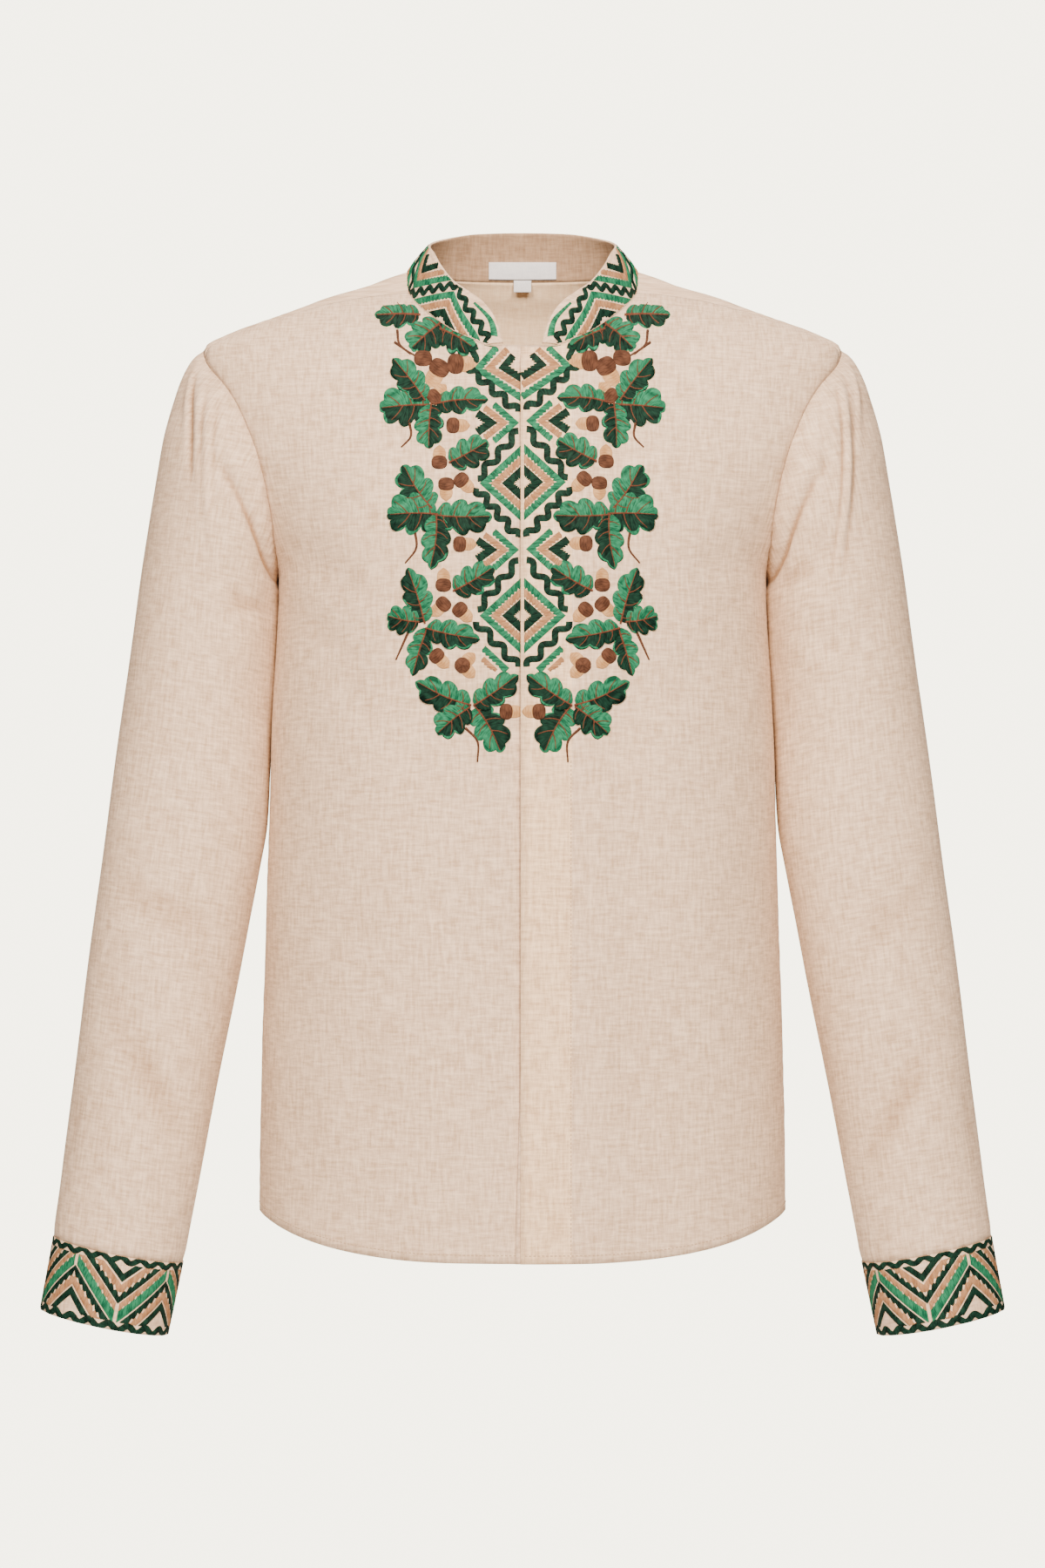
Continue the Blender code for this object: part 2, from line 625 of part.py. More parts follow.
def wall_around(grid, normals, moves=None, thickness=WALL, closed=False, weld_to=0, welded_edge=False):
    """The wall of a grid: points half the thickness to each side of it, with its edges moved by the seams."""
    outer = grid + normals * thickness / 2.0
    inner = grid - normals * thickness / 2.0
    if moves is not None:
        outer = outer + moves[0]
        inner = inner + moves[1]
    if closed:
        index = np.arange(grid.shape[0] * grid.shape[1]).reshape(grid.shape[:2])
        ring = np.concatenate([index, index[:, :1]], axis=1)
        edges = [ring[0], ring[-1]]
    else:
        edge = boundary(grid.shape, weld_to)
        edges = [edge]
    return outer, inner, wall_faces(grid.shape, closed, edges)


def mirrored(wall):
    """The wall on the other side of the centre plane."""
    outer, inner, faces = wall
    flip = np.array([-1.0, 1.0, 1.0])
    return outer * flip, inner * flip, faces


def front_moves(front, back, sleeve, collar, neck_row, front_count):
    """How the edges of a front move at its side, armhole, shoulder and neck seams."""
    normals = grid_normals(front, False, BODY_MIDDLE)
    moves = np.zeros((2,) + front.shape)
    front_in = front[:, -2] - front[:, -1]
    back_in = back[:, -2] - back[:, -1]
    side = (slice(0, BODY_ROWS + 1), -1)
    seam_moves(moves, front, normals, side, front_in[side[0]], back_in[side[0]])
    hole = (slice(BODY_ROWS, None), -1)
    inward = front_in[BODY_ROWS:].copy()
    inward[0] = front[BODY_ROWS - 1, -1] - front[BODY_ROWS, -1]
    seam_moves(moves, front, normals, hole, inward, sleeve_inward(sleeve, front_count)[0], from_armpit=True)
    seam_moves(moves, front, normals, (-1, slice(None)), front[-2] - front[-1], back[-2] - back[-1])
    neck = (slice(neck_row, None), 0)
    collar_side = (collar[1] - collar[0])[NECK_SPLIT * NECK_STEPS:][::-1]
    seam_moves(moves, front, normals, neck, (front[:, 1] - front[:, 0])[neck_row:], collar_side)
    return normals, moves


def back_moves(front, back, sleeve, collar, neck_row, front_count):
    """How the edges of half the back move at its side, armhole, shoulder and neck seams."""
    normals = grid_normals(back, False, BODY_MIDDLE)
    normals[:neck_row, 0, 0] = 0.0
    normals[:neck_row, 0] = unit(normals[:neck_row, 0])
    moves = np.zeros((2,) + back.shape)
    front_in = front[:, -2] - front[:, -1]
    back_in = back[:, -2] - back[:, -1]
    side = (slice(0, BODY_ROWS + 1), -1)
    seam_moves(moves, back, normals, side, back_in[side[0]], front_in[side[0]])
    hole = (slice(BODY_ROWS, None), -1)
    inward = back_in[BODY_ROWS:].copy()
    inward[0] = back[BODY_ROWS - 1, -1] - back[BODY_ROWS, -1]
    seam_moves(moves, back, normals, hole, inward, sleeve_inward(sleeve, front_count)[1], from_armpit=True)
    seam_moves(moves, back, normals, (-1, slice(None)), back[-2] - back[-1], front[-2] - front[-1])
    neck = (slice(neck_row - 1, None), 0)
    inward = (back[:, 1] - back[:, 0])[neck_row - 1:]
    inward[0] = back[neck_row - 2, 0] - back[neck_row - 1, 0]
    collar_side = (collar[1] - collar[0])[: NECK_SPLIT * NECK_STEPS + 1]
    seam_moves(moves, back, normals, neck, inward, collar_side)
    moves[:, :neck_row, 0, 0] = 0.0
    return normals, moves


def sleeve_inward(sleeve, front_count):
    """The sleeve's direction away from the armhole, at the front's edge points and at the back's."""
    inward = sleeve["grid"][1] - sleeve["grid"][0]
    inward = inward[sleeve["corners"]]
    back = np.concatenate([inward[:1], inward[front_count - 1:][::-1]])
    return inward[:front_count], back


def torso_inward(front, back):
    """The body's direction away from the armhole, round the armhole's loop."""
    front_in = (front[:, -2] - front[:, -1])[BODY_ROWS:]
    back_in = (back[:, -2] - back[:, -1])[BODY_ROWS:]
    front_in[0] = front[BODY_ROWS - 1, -1] - front[BODY_ROWS, -1]
    return np.concatenate([front_in, back_in[::-1][1:-1]])


def row_point(row, x):
    """The point of a body row at x, read along its straight steps. A negative x lies on the mirrored side."""
    at = abs(x)
    return [x, np.interp(at, row[:, 0], row[:, 1]), np.interp(at, row[:, 0], row[:, 2])]


def strip_wall(front, neck_row, edges, lift):
    """A strip behind the placket's front, from a given edge for each row to its far edge, moved out by lift."""
    rows = []
    for k in range(neck_row):
        places = np.linspace(edges[k], UNDERLAY_X, STRIP_COLUMNS)
        rows.append([row_point(front[k], x) for x in places])
    grid = np.array(rows)
    normals = grid_normals(grid, False, BODY_MIDDLE)
    return wall_around(grid + normals * lift, normals)


def build_fronts(front, neck_row, normals, moves):
    """The two fronts, and the placket's layers between them."""
    reach = (front[..., 0] - PLACKET_RAISED_TO) / (PLACKET_FLAT_FROM - PLACKET_RAISED_TO)
    raised = 1.0 - smooth_step(reach)
    rows_above = np.arange(len(front)) - neck_row + 1
    raised *= 1.0 - smooth_step(rows_above / PLACKET_FADE_ROWS)[:, None]
    raised[neck_row:, 0] = 0.0
    left = front + normals * (2.0 * LAYER * raised)[..., None]
    left[:neck_row, 0, 0] = FOLD_X
    add_piece("front_left", [wall_around(left, normals, moves)], "linen")
    right_moves = moves.copy()
    right_moves[:, :neck_row, 0, 0] += SEAM_GAP / 2.0
    add_piece("front_right", [mirrored(wall_around(front, normals, right_moves))], "linen")
    heights = front[:neck_row, 0, 2]
    band_edges = np.full(neck_row, SEAM_GAP / 2.0)
    add_piece("button_band", [strip_wall(front, neck_row, band_edges, 0.0)], "linen")
    peek = FOLD_X - PEEK * smooth_step((PEEK_TOP_Z - heights) / (PEEK_TOP_Z - HEM_CENTRE_Z))
    add_piece("placket_underlay", [strip_wall(front, neck_row, peek, LAYER)], "linen")


def build_sleeves(sleeve, front, back):
    """The sleeves and their cuffs, on both sides."""
    grid = sleeve["grid"]
    cuff_start = len(grid) - 1 - CUFF_RINGS
    arm, cuff = grid[: cuff_start + 1], grid[cuff_start:]
    for name, part in (("sleeve", arm), ("cuff", cuff)):
        normals = grid_normals(part, True, part.mean(axis=1, keepdims=True))
        moves = np.zeros((2,) + part.shape)
        if name == "sleeve":
            torso = read_closed(torso_inward(front, back), sleeve["places"])
            seam_moves(moves, part, normals, (0, slice(None)), part[1] - part[0], torso, closed=True)
            moves[:, -1] += unit(part[-2] - part[-1]) * SEAM_GAP / 2.0
        else:
            moves[:, 0] += unit(part[1] - part[0]) * SEAM_GAP / 2.0
        wall = wall_around(part, normals, moves, closed=True)
        colour = "linen" if name == "sleeve" else "embroidery"
        add_piece(name + "_left", [wall], colour)
        add_piece(name + "_right", [mirrored(wall)], colour)


def build_collar(collar, front, back, front_neck_row, back_neck_row):
    """The stand collar, in two halves that are welded at the centre back."""
    normals = grid_normals(collar, False, NECK_MIDDLE)
    normals[:, 0, 0] = 0.0
    normals[:, 0] = unit(normals[:, 0])
    moves = np.zeros((2,) + collar.shape)
    back_in = (back[:, 1] - back[:, 0])[back_neck_row - 1:]
    back_in[0] = back[back_neck_row - 2, 0] - back[back_neck_row - 1, 0]
    front_in = (front[:, 1] - front[:, 0])[front_neck_row:][::-1]
    body_in = np.concatenate([back_in, front_in[1:]])
    seam_moves(moves, collar, normals, (0, slice(None)), collar[1] - collar[0], body_in)
    moves[:, :, 0, 0] = 0.0
    wall = wall_around(collar, normals, moves, weld_to=COLLAR_ROWS)
    add_piece("collar", [wall, mirrored(wall)], "embroidery")


def collar_inside(collar, x, share, depth):
    """A point inside the collar's back at x, at a share of its height, moved in by depth."""
    at = abs(x)
    rear = collar[:, :NECK_SPLIT]
    low = [np.interp(at, rear[0, :, 0], rear[0, :, k]) for k in (1, 2)]
    high = [np.interp(at, rear[-1, :, 0], rear[-1, :, k]) for k in (1, 2)]
    y = low[0] + share * (high[0] - low[0]) + COLLAR_BELLY * np.sin(np.pi * np.clip(share, 0.0, 1.0))
    return [x, y - depth, low[1] + share * (high[1] - low[1])]


def build_label(collar):
    """The woven label inside the collar's back, and the tag that hangs under it."""
    depth = WALL / 2.0 + SEAM_GAP + LABEL_WALL / 2.0 + LABEL_CLEARANCE
    pieces = (("neck_label", LABEL_HALF_WIDTH, LABEL_BAND, 9), ("size_tag", TAG_HALF_WIDTH, TAG_BAND, 3))
    for name, half_width, band, columns in pieces:
        across = np.linspace(-half_width, half_width, columns)
        up = np.linspace(band[0], band[1], LABEL_ROWS)
        grid = np.array([[collar_inside(collar, x, share, depth) for x in across] for share in up])
        normals = grid_normals(grid, False, NECK_MIDDLE)
        add_piece(name, [wall_around(grid, normals, thickness=LABEL_WALL)], "label")


def main():
    clear_scene()
    front, front_neck_row = half_body(1)
    back, back_neck_row = half_body(-1)
    loop, front_count = armhole_loop(front, back)
    sleeve = sleeve_grid(loop)
    collar = collar_grid()
    normals, moves = front_moves(front, back, sleeve, collar, front_neck_row, front_count)
    build_fronts(front, front_neck_row, normals, moves)
    normals, moves = back_moves(front, back, sleeve, collar, back_neck_row, front_count)
    wall = wall_around(back, normals, moves, weld_to=back_neck_row - 1)
    add_piece("back", [wall, mirrored(wall)], "linen")
    build_sleeves(sleeve, front, back)
    build_collar(collar, front, back, front_neck_row, back_neck_row)
    build_label(collar)


main()
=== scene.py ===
import bpy
import numpy as np
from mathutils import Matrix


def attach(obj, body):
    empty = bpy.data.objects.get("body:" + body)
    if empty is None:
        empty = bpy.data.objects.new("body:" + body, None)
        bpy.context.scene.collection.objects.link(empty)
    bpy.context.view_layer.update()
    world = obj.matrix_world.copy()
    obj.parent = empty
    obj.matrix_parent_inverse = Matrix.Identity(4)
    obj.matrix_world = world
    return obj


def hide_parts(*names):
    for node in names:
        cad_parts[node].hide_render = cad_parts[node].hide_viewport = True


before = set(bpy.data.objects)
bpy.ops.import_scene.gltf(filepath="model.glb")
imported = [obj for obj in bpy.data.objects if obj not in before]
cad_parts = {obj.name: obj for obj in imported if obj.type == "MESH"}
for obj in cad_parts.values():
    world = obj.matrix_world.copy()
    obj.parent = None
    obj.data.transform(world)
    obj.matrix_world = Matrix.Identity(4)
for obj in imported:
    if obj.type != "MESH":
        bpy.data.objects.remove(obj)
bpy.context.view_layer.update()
print("frame loaded")


# The camera: real metres down the picture in the plane of the shirt's middle, seen from in front
view = {"distance": 3.5, "centreZ": -0.3712, "height": 1.152, "sensor": 36.0}


# The shirt's form

# Heights and widths that the pieces share, in metres
form = {
    "armpitZ": -0.221,
    "frontNeckZ": -0.0566,
    "lowestShoulderZ": -0.090,
    "shoulderTip": (81.0, -0.062),  # angle from the centre front, height
    "hemCentreZ": -0.711,
    "hemSideZ": -0.683,
    "hemCorner": 3.2,  # the larger, the later the hem turns up towards the side seam
    "collarBelly": 0.0012,
    "neckSplit": 6,  # the row of the neckline where the shoulder seam starts
    "cuffSections": 2,  # the sleeve's last sections, between which the cuff lies
    "shoulderGirth": 0.40,
    "clothThickness": 0.0010,
    "embroideredThickness": 0.0016,
}

# How finely the surfaces are worked out
steps = {
    "bodyRows": 84,
    "frontEdgeRows": 36,
    "backEdgeRows": 42,
    "flatEdgeRows": 6,
    "neckSteps": 12,
    "columns": 72,
    "sleeveRings": 120,
    "cuffRings": 14,
    "collarRows": 16,
    "mapRing": 25,
    "mapProfile": 400,
    "sight": 14,
}

# Sections of the body: height, half width, depth to the front and the back, squareness
sections = np.array([
    (0.004, 0.0845, 0.0010, 0.0660, 2.0),
    (0.000, 0.0970, 0.0060, 0.0690, 2.0),
    (-0.008, 0.1200, 0.0125, 0.0740, 2.0),
    (-0.015, 0.1430, 0.0225, 0.0800, 2.0),
    (-0.023, 0.1640, 0.0365, 0.0860, 2.0),
    (-0.031, 0.1860, 0.0485, 0.0900, 2.0),
    (-0.038, 0.2050, 0.0575, 0.0935, 2.0),
    (-0.046, 0.2195, 0.0670, 0.0970, 2.0),
    (-0.056, 0.2320, 0.0790, 0.1010, 2.0),
    (-0.080, 0.2365, 0.0980, 0.1100, 2.0),
    (-0.106, 0.2340, 0.1100, 0.1170, 2.0),
    (-0.132, 0.2240, 0.1190, 0.1215, 2.05),
    (-0.160, 0.2070, 0.1260, 0.1245, 2.1),
    (-0.186, 0.1910, 0.1300, 0.1260, 2.2),
    (-0.221, 0.1780, 0.1330, 0.1260, 2.3),
    (-0.300, 0.1815, 0.1330, 0.1210, 2.35),
    (-0.405, 0.1850, 0.1300, 0.1150, 2.35),
    (-0.500, 0.1880, 0.1280, 0.1140, 2.3),
    (-0.600, 0.1910, 0.1280, 0.1160, 2.25),
    (-0.720, 0.1925, 0.1290, 0.1190, 2.2),
])

# The armhole from the armpit up: angle from the centre front or back, height
armholes = {
    "front": np.array([
        (90.0, -0.221), (80.0, -0.208), (70.0, -0.186), (62.5, -0.160),
        (58.5, -0.132), (60.0, -0.104), (67.0, -0.080), (81.0, -0.062),
    ]),
    "back": np.array([
        (90.0, -0.221), (80.0, -0.208), (70.0, -0.186), (63.0, -0.160), (60.0, -0.132),
        (62.0, -0.104), (70.0, -0.078), (80.0, -0.062), (90.0, -0.056), (99.0, -0.062),
    ]),
}

# Neckline and collar from the centre back to the front end: seam x and y, then the top edge's x, y and z
neck = np.array([
    (0.0000, 0.0660, 0.0000, 0.0610, 0.0405),
    (0.0220, 0.0637, 0.0200, 0.0590, 0.0400),
    (0.0440, 0.0562, 0.0385, 0.0520, 0.0382),
    (0.0640, 0.0428, 0.0550, 0.0385, 0.0338),
    (0.0785, 0.0238, 0.0655, 0.0210, 0.0290),
    (0.0843, 0.0030, 0.0680, 0.0040, 0.0242),
    (0.0830, -0.0140, 0.0645, -0.0095, 0.0178),
    (0.0760, -0.0320, 0.0590, -0.0240, 0.0070),
    (0.0635, -0.0500, 0.0495, -0.0420, -0.0062),
    (0.0509, -0.0630, 0.0380, -0.0550, -0.0155),
    (0.0402, -0.0705, 0.0278, -0.0650, -0.0240),
    (0.0313, -0.0757, 0.0196, -0.0735, -0.0365),
    (0.0263, -0.0785, 0.0140, -0.0800, -0.0545),
])

# Sleeve: outer x and z, inner x and z as seen from the front, half depth, middle y, roundness
sleeveSections = np.array([
    (0.2320, -0.0560, 0.1780, -0.2210, 0.0610, 0.000, 0.00),
    (0.2405, -0.0635, 0.1806, -0.2250, 0.0640, 0.000, 0.10),
    (0.2485, -0.0770, 0.1809, -0.2320, 0.0665, -0.001, 0.25),
    (0.2550, -0.0940, 0.1812, -0.2400, 0.0675, -0.001, 0.40),
    (0.2620, -0.1180, 0.1816, -0.2510, 0.0675, -0.002, 0.56),
    (0.2675, -0.1470, 0.1821, -0.2660, 0.0665, -0.002, 0.72),
    (0.2730, -0.1790, 0.1828, -0.2850, 0.0645, -0.003, 0.85),
    (0.2790, -0.2170, 0.1837, -0.3080, 0.0620, -0.003, 0.95),
    (0.2847, -0.2580, 0.1845, -0.3340, 0.0600, -0.004, 1.00),
    (0.2915, -0.3080, 0.1857, -0.3660, 0.0580, -0.005, 1.00),
    (0.2983, -0.3590, 0.1876, -0.4000, 0.0565, -0.007, 1.00),
    (0.3052, -0.4100, 0.1935, -0.4360, 0.0550, -0.009, 1.00),
    (0.3118, -0.4610, 0.2025, -0.4820, 0.0535, -0.011, 1.00),
    (0.3246, -0.5630, 0.2222, -0.5830, 0.0505, -0.016, 1.00),
    (0.3368, -0.6650, 0.2417, -0.6840, 0.0470, -0.021, 1.00),
    (0.3414, -0.7005, 0.2487, -0.7195, 0.0455, -0.023, 1.00),
    (0.3506, -0.7530, 0.2595, -0.7720, 0.0445, -0.026, 1.00),
])


def unit(vectors):  # the vectors at length one
    return vectors / np.maximum(np.linalg.norm(vectors, axis=-1, keepdims=True), 1e-12)


def smoothStep(x):  # 0 below 0, 1 above 1, soft at both ends
    x = np.clip(x, 0.0, 1.0)
    return x * x * (3.0 - 2.0 * x)


def curveThrough(knots, values, places):  # cubic through the values that never overshoots
    gaps = np.diff(knots)
    slopes = np.diff(values) / gaps
    before, after = slopes[:-1], slopes[1:]
    sameWay = before * after > 0
    mean = np.where(sameWay, 2.0 * before * after / np.where(sameWay, before + after, 1.0), 0.0)
    tangents = np.concatenate([slopes[:1], mean, slopes[-1:]])
    places = np.clip(places, knots[0], knots[-1])
    k = np.clip(np.searchsorted(knots, places) - 1, 0, len(gaps) - 1)
    t = (places - knots[k]) / gaps[k]
    start = (1 + 2 * t) * (1 - t) ** 2 * values[k] + t * (1 - t) ** 2 * gaps[k] * tangents[k]
    end = t * t * (3 - 2 * t) * values[k + 1] + t * t * (t - 1) * gaps[k] * tangents[k + 1]
    return start + end


def pathThrough(points, places):  # soft path through points, read at places from 0 to the last index
    points = np.asarray(points, float)
    places = np.asarray(places, float)
    tangents = np.gradient(points, axis=0)
    k = np.clip(np.floor(places).astype(int), 0, len(points) - 2)
    t = (places - k)[..., None]
    start = (1 + 2 * t) * (1 - t) ** 2 * points[k] + t * (1 - t) ** 2 * tangents[k]
    end = t * t * (3 - 2 * t) * points[k + 1] + t * t * (t - 1) * tangents[k + 1]
    return start + end


def bell(distance, width):  # 1 at no distance, falling away as a normal curve of that width
    return np.exp(-((distance / width) ** 2))


def leftOf(ahead):  # flat directions turned a quarter to the left
    return np.stack([-ahead[..., 1], ahead[..., 0]], axis=-1)


def runAlong(points):  # distance from the first point, measured along the points
    gaps = np.linalg.norm(np.diff(points, axis=0), axis=-1)
    return np.concatenate([np.zeros((1,) + gaps.shape[1:]), np.cumsum(gaps, axis=0)])


def sectionValue(column, z):  # one column of the body's sections at the heights z
    return curveThrough(sections[::-1, 0], sections[::-1, column], np.asarray(z, float))


def bodyPoint(angle, z, side):  # superellipse section; angle from the centre front (1) or back (-1)
    turn = np.radians(angle)
    power = 2.0 / sectionValue(4, z)
    x = sectionValue(1, z) * np.abs(np.sin(turn)) ** power
    own, other = (2, 3) if side > 0 else (3, 2)
    near = sectionValue(own, z) * np.abs(np.cos(turn)) ** power
    far = sectionValue(other, z) * np.abs(np.cos(turn)) ** power
    y = np.where(np.cos(turn) >= 0, -side * near, side * far)
    return np.stack([x, y, np.asarray(z, float) + 0.0 * x], axis=-1)


def bodyAngle(x, y, z, side):  # the angle that bodyPoint turns back into x and y
    deep = np.where(y <= 0.0, sectionValue(2, z), sectionValue(3, z))
    power = sectionValue(4, z) / 2.0
    across = (np.abs(x) / sectionValue(1, z)) ** power
    angle = np.degrees(np.arctan2(across, (np.abs(y) / deep) ** power))
    return np.where(side * y <= 0.0, angle, 180.0 - angle)


def bodyHeight(x, y):  # the height where the form passes over a point seen from above
    heights = np.linspace(sections[0, 0], form["lowestShoulderZ"], 800)[None, :]
    x, y = np.asarray(x, float)[:, None], np.asarray(y, float)[:, None]
    deep = np.where(y <= 0.0, sectionValue(2, heights), sectionValue(3, heights))
    power = sectionValue(4, heights)
    reach = (np.abs(x) / sectionValue(1, heights)) ** power + (np.abs(y) / deep) ** power
    first = np.argmax(reach <= 1.0, axis=1)
    rows = np.arange(len(first))
    before = np.maximum(first - 1, 0)
    high, low = reach[rows, before], reach[rows, first]
    share = np.where(first > 0, (high - 1.0) / np.maximum(high - low, 1e-9), 0.0)
    return heights[0, before] + share * (heights[0, first] - heights[0, before])


def neckSeam(places):  # the seam under the collar, on the form
    plan = pathThrough(neck[:, 0:2], places)
    return np.concatenate([plan, bodyHeight(plan[:, 0], plan[:, 1])[:, None]], axis=1)


def shoulderSeam(count):  # straight from the neckline to the sleeve's head, as (angle, height)
    start = neck[form["neckSplit"], :2]
    tip = bodyPoint(*form["shoulderTip"], 1)[:2]
    x, y = np.linspace(start[0], tip[0], count), np.linspace(start[1], tip[1], count)
    z = bodyHeight(x, y)
    return np.stack([bodyAngle(x, y, z, 1), z], axis=1)


def armholeEdge(table, count, side):  # the armhole at even distances, as (angle, height)
    fine = pathThrough(table, np.linspace(0, len(table) - 1, 60 * len(table)))
    run = runAlong(bodyPoint(fine[:, 0], fine[:, 1], side))
    places = np.linspace(0.0, run[-1], count)
    return np.stack([np.interp(places, run, fine[:, c]) for c in (0, 1)], axis=1)


def gridNormals(grid, closed, centre):  # cross product of the grid's two directions, turned outward
    down = np.gradient(grid, axis=0)
    if closed:
        across = (np.roll(grid, -1, axis=1) - np.roll(grid, 1, axis=1)) / 2.0
    else:
        across = np.gradient(grid, axis=1)
    normals = unit(np.cross(down, across))
    return normals if np.sum(normals * (grid - centre)) > 0 else -normals


# Soft folds of the body, seen from the front (side 1) or the back (-1), on both halves
# (side, start x and z, end x and z, width, depth)
bodyFolds = [
    (1, 0.172, -0.245, 0.095, -0.330, 0.024, 0.0030),
    (1, 0.165, -0.190, 0.118, -0.250, 0.020, 0.0026),
    (1, 0.120, -0.480, 0.105, -0.700, 0.028, 0.0024),
    (1, 0.160, -0.400, 0.150, -0.690, 0.020, 0.0020),
    (-1, 0.170, -0.245, 0.090, -0.350, 0.026, 0.0034),
    (-1, 0.062, -0.090, 0.050, -0.330, 0.026, 0.0026),
    (-1, 0.112, -0.450, 0.095, -0.700, 0.030, 0.0030),
    (-1, 0.155, -0.420, 0.145, -0.690, 0.022, 0.0022),
]

# Smaller creases that differ from half to half (half 1 is the wearer's left)
# (side, half, start x and z, end x and z, width, depth)
smallCreases = [
    (1, 1, 0.168, -0.232, 0.128, -0.262, 0.008, 0.0012),
    (1, 1, 0.173, -0.262, 0.120, -0.352, 0.011, 0.0011),
    (1, 1, 0.150, -0.205, 0.112, -0.222, 0.008, 0.0008),
    (1, 1, 0.085, -0.520, 0.078, -0.690, 0.016, 0.0010),
    (1, 1, 0.176, -0.470, 0.168, -0.640, 0.012, 0.0010),
    (1, -1, 0.170, -0.240, 0.118, -0.286, 0.009, 0.0013),
    (1, -1, 0.174, -0.280, 0.132, -0.372, 0.011, 0.0010),
    (1, -1, 0.152, -0.212, 0.108, -0.238, 0.008, 0.0009),
    (1, -1, 0.070, -0.470, 0.074, -0.670, 0.018, 0.0009),
    (1, -1, 0.172, -0.500, 0.160, -0.670, 0.013, 0.0011),
    (-1, 1, 0.168, -0.236, 0.108, -0.300, 0.010, 0.0014),
    (-1, 1, 0.172, -0.290, 0.120, -0.400, 0.013, 0.0011),
    (-1, 1, 0.030, -0.420, 0.038, -0.660, 0.018, 0.0012),
    (-1, -1, 0.166, -0.228, 0.112, -0.280, 0.010, 0.0013),
    (-1, -1, 0.170, -0.300, 0.126, -0.380, 0.012, 0.0012),
    (-1, -1, 0.048, -0.380, 0.040, -0.600, 0.020, 0.0011),
]

# Placket: where its layers raise the left front, and how the lift dies away above the opening
placket = {
    "foldX": -0.0013,
    "layer": 0.0017,
    "raisedTo": 0.046,
    "flatFrom": 0.078,
    "fadeHeight": 0.020,
    "seamReach": 0.020,
    "stitchX": 0.0352,
    "bandX": 0.00015,
    "underlayX": 0.034,
    "peek": 0.0034,
    "peekTopZ": -0.560,
}

# Uneven hang of the cloth: waves across and down, in metres, and where they begin below the chest
hang = {"across": 0.086, "down": 0.23, "height": 0.0007, "startZ": -0.20, "fade": 0.15, "calmWidth": 0.05}


def troughs(x, z, table, end=0.08):  # a trough along each line: a half sine along it and a bell across
    depth = np.zeros(np.shape(x))
    for x0, z0, x1, z1, width, deepest in table:
        ahead = np.array([x1 - x0, z1 - z0])
        share = np.clip(((x - x0) * ahead[0] + (z - z0) * ahead[1]) / (ahead @ ahead), 0.0, 1.0)
        off = np.hypot(x - x0 - share * ahead[0], z - z0 - share * ahead[1])
        depth += deepest * np.sin(np.pi * (end + (1.0 - 2.0 * end) * share)) * bell(off, width)
    return depth


def placketLift(x, z):  # 1 where the placket's layers raise the left front, falling to 0 beside and above it
    beside = 1.0 - smoothStep((x - placket["raisedTo"]) / (placket["flatFrom"] - placket["raisedTo"]))
    above = 1.0 - smoothStep((z - form["frontNeckZ"]) / placket["fadeHeight"])
    seam = neckSeam(np.linspace(form["neckSplit"], len(neck) - 1, 80))[::-1]
    fromSeam = x - np.interp(z, seam[:, 2], seam[:, 0])
    nearNeck = smoothStep((z - form["frontNeckZ"] + placket["fadeHeight"]) / placket["fadeHeight"])
    held = 1.0 - nearNeck * (1.0 - smoothStep(fromSeam / placket["seamReach"]))
    return beside * above * held


def bodyLift(x, z, side, half):  # how far the hung cloth stands out from the form, on one half
    folds = [row[1:] for row in bodyFolds if row[0] == side]
    creasesAndShades = [row[2:] for row in smallCreases if row[0] == side and row[1] == half]
    calm = smoothStep(np.abs(x) / hang["calmWidth"])
    sway = np.sin(2 * np.pi * (half * x / hang["across"] + 0.6 * np.sin(z / 0.09)) + side)
    sway = sway * np.sin(2 * np.pi * z / hang["down"] + 1.3 * half)
    low = smoothStep((hang["startZ"] - z) / hang["fade"])
    return hang["height"] * sway * calm * low - troughs(x, z, folds) - troughs(x, z, creasesAndShades) * calm


def hemHeight(angle):  # level at the centre, turned up at the side seams
    share = np.abs(np.sin(np.radians(angle))) ** form["hemCorner"]
    return form["hemCentreZ"] + (form["hemSideZ"] - form["hemCentreZ"]) * share


# Beside a seam: heights of the puff and the puckers, and the distances where they rise and die away
seamLook = {
    "puff": 0.0007,
    "puffReach": 0.007,
    "puffEnd": 0.05,
    "pucker": 0.0004,
    "puckerStart": 0.004,
    "puckerReach": 0.016,
    "puckerStep": 0.0105,
    "foldFade": 0.02,
    "cornerFade": 0.01,
}


def seamLift(run, alongRun, seed):  # cloth rises beside a seam and puckers along it, in an uneven sine
    puff = seamLook["puff"] * smoothStep(run / seamLook["puffReach"])
    puff = puff * (1 - smoothStep(run / seamLook["puffEnd"]))
    beat = alongRun / seamLook["puckerStep"]
    wave = np.sin(2 * np.pi * (beat + 0.35 * np.sin(1.7 * beat + seed)))
    wave = wave * (0.6 + 0.4 * np.sin(0.61 * beat + seed))
    fade = smoothStep(run / seamLook["puckerStart"]) * (1 - smoothStep(run / seamLook["puckerReach"]))
    return puff + seamLook["pucker"] * wave * fade


# Painted shade of the creases: how dark, from 0 to 1, and how wide: the line in a seam, the dip beside it,
# and the folds
creaseShadeLook = {
    "armhole": 0.9,
    "armholeFall": 0.72,
    "armpitReach": 0.12,
    "sideSeam": 0.3,
    "bodyLine": 0.0045,
    "sleeveLine": 0.004,
    "dip": 0.32,
    "dipWidth": 0.013,
    "dipFade": 0.04,
    "bodyFolds": 0.3,
    "sleeveFolds": 1.2,
    "armpitFolds": 1.4,
    "armpitLength": 0.05,
    "armpitFade": 0.06,
    "span": 0.0020,
    "least": 0.12,
}


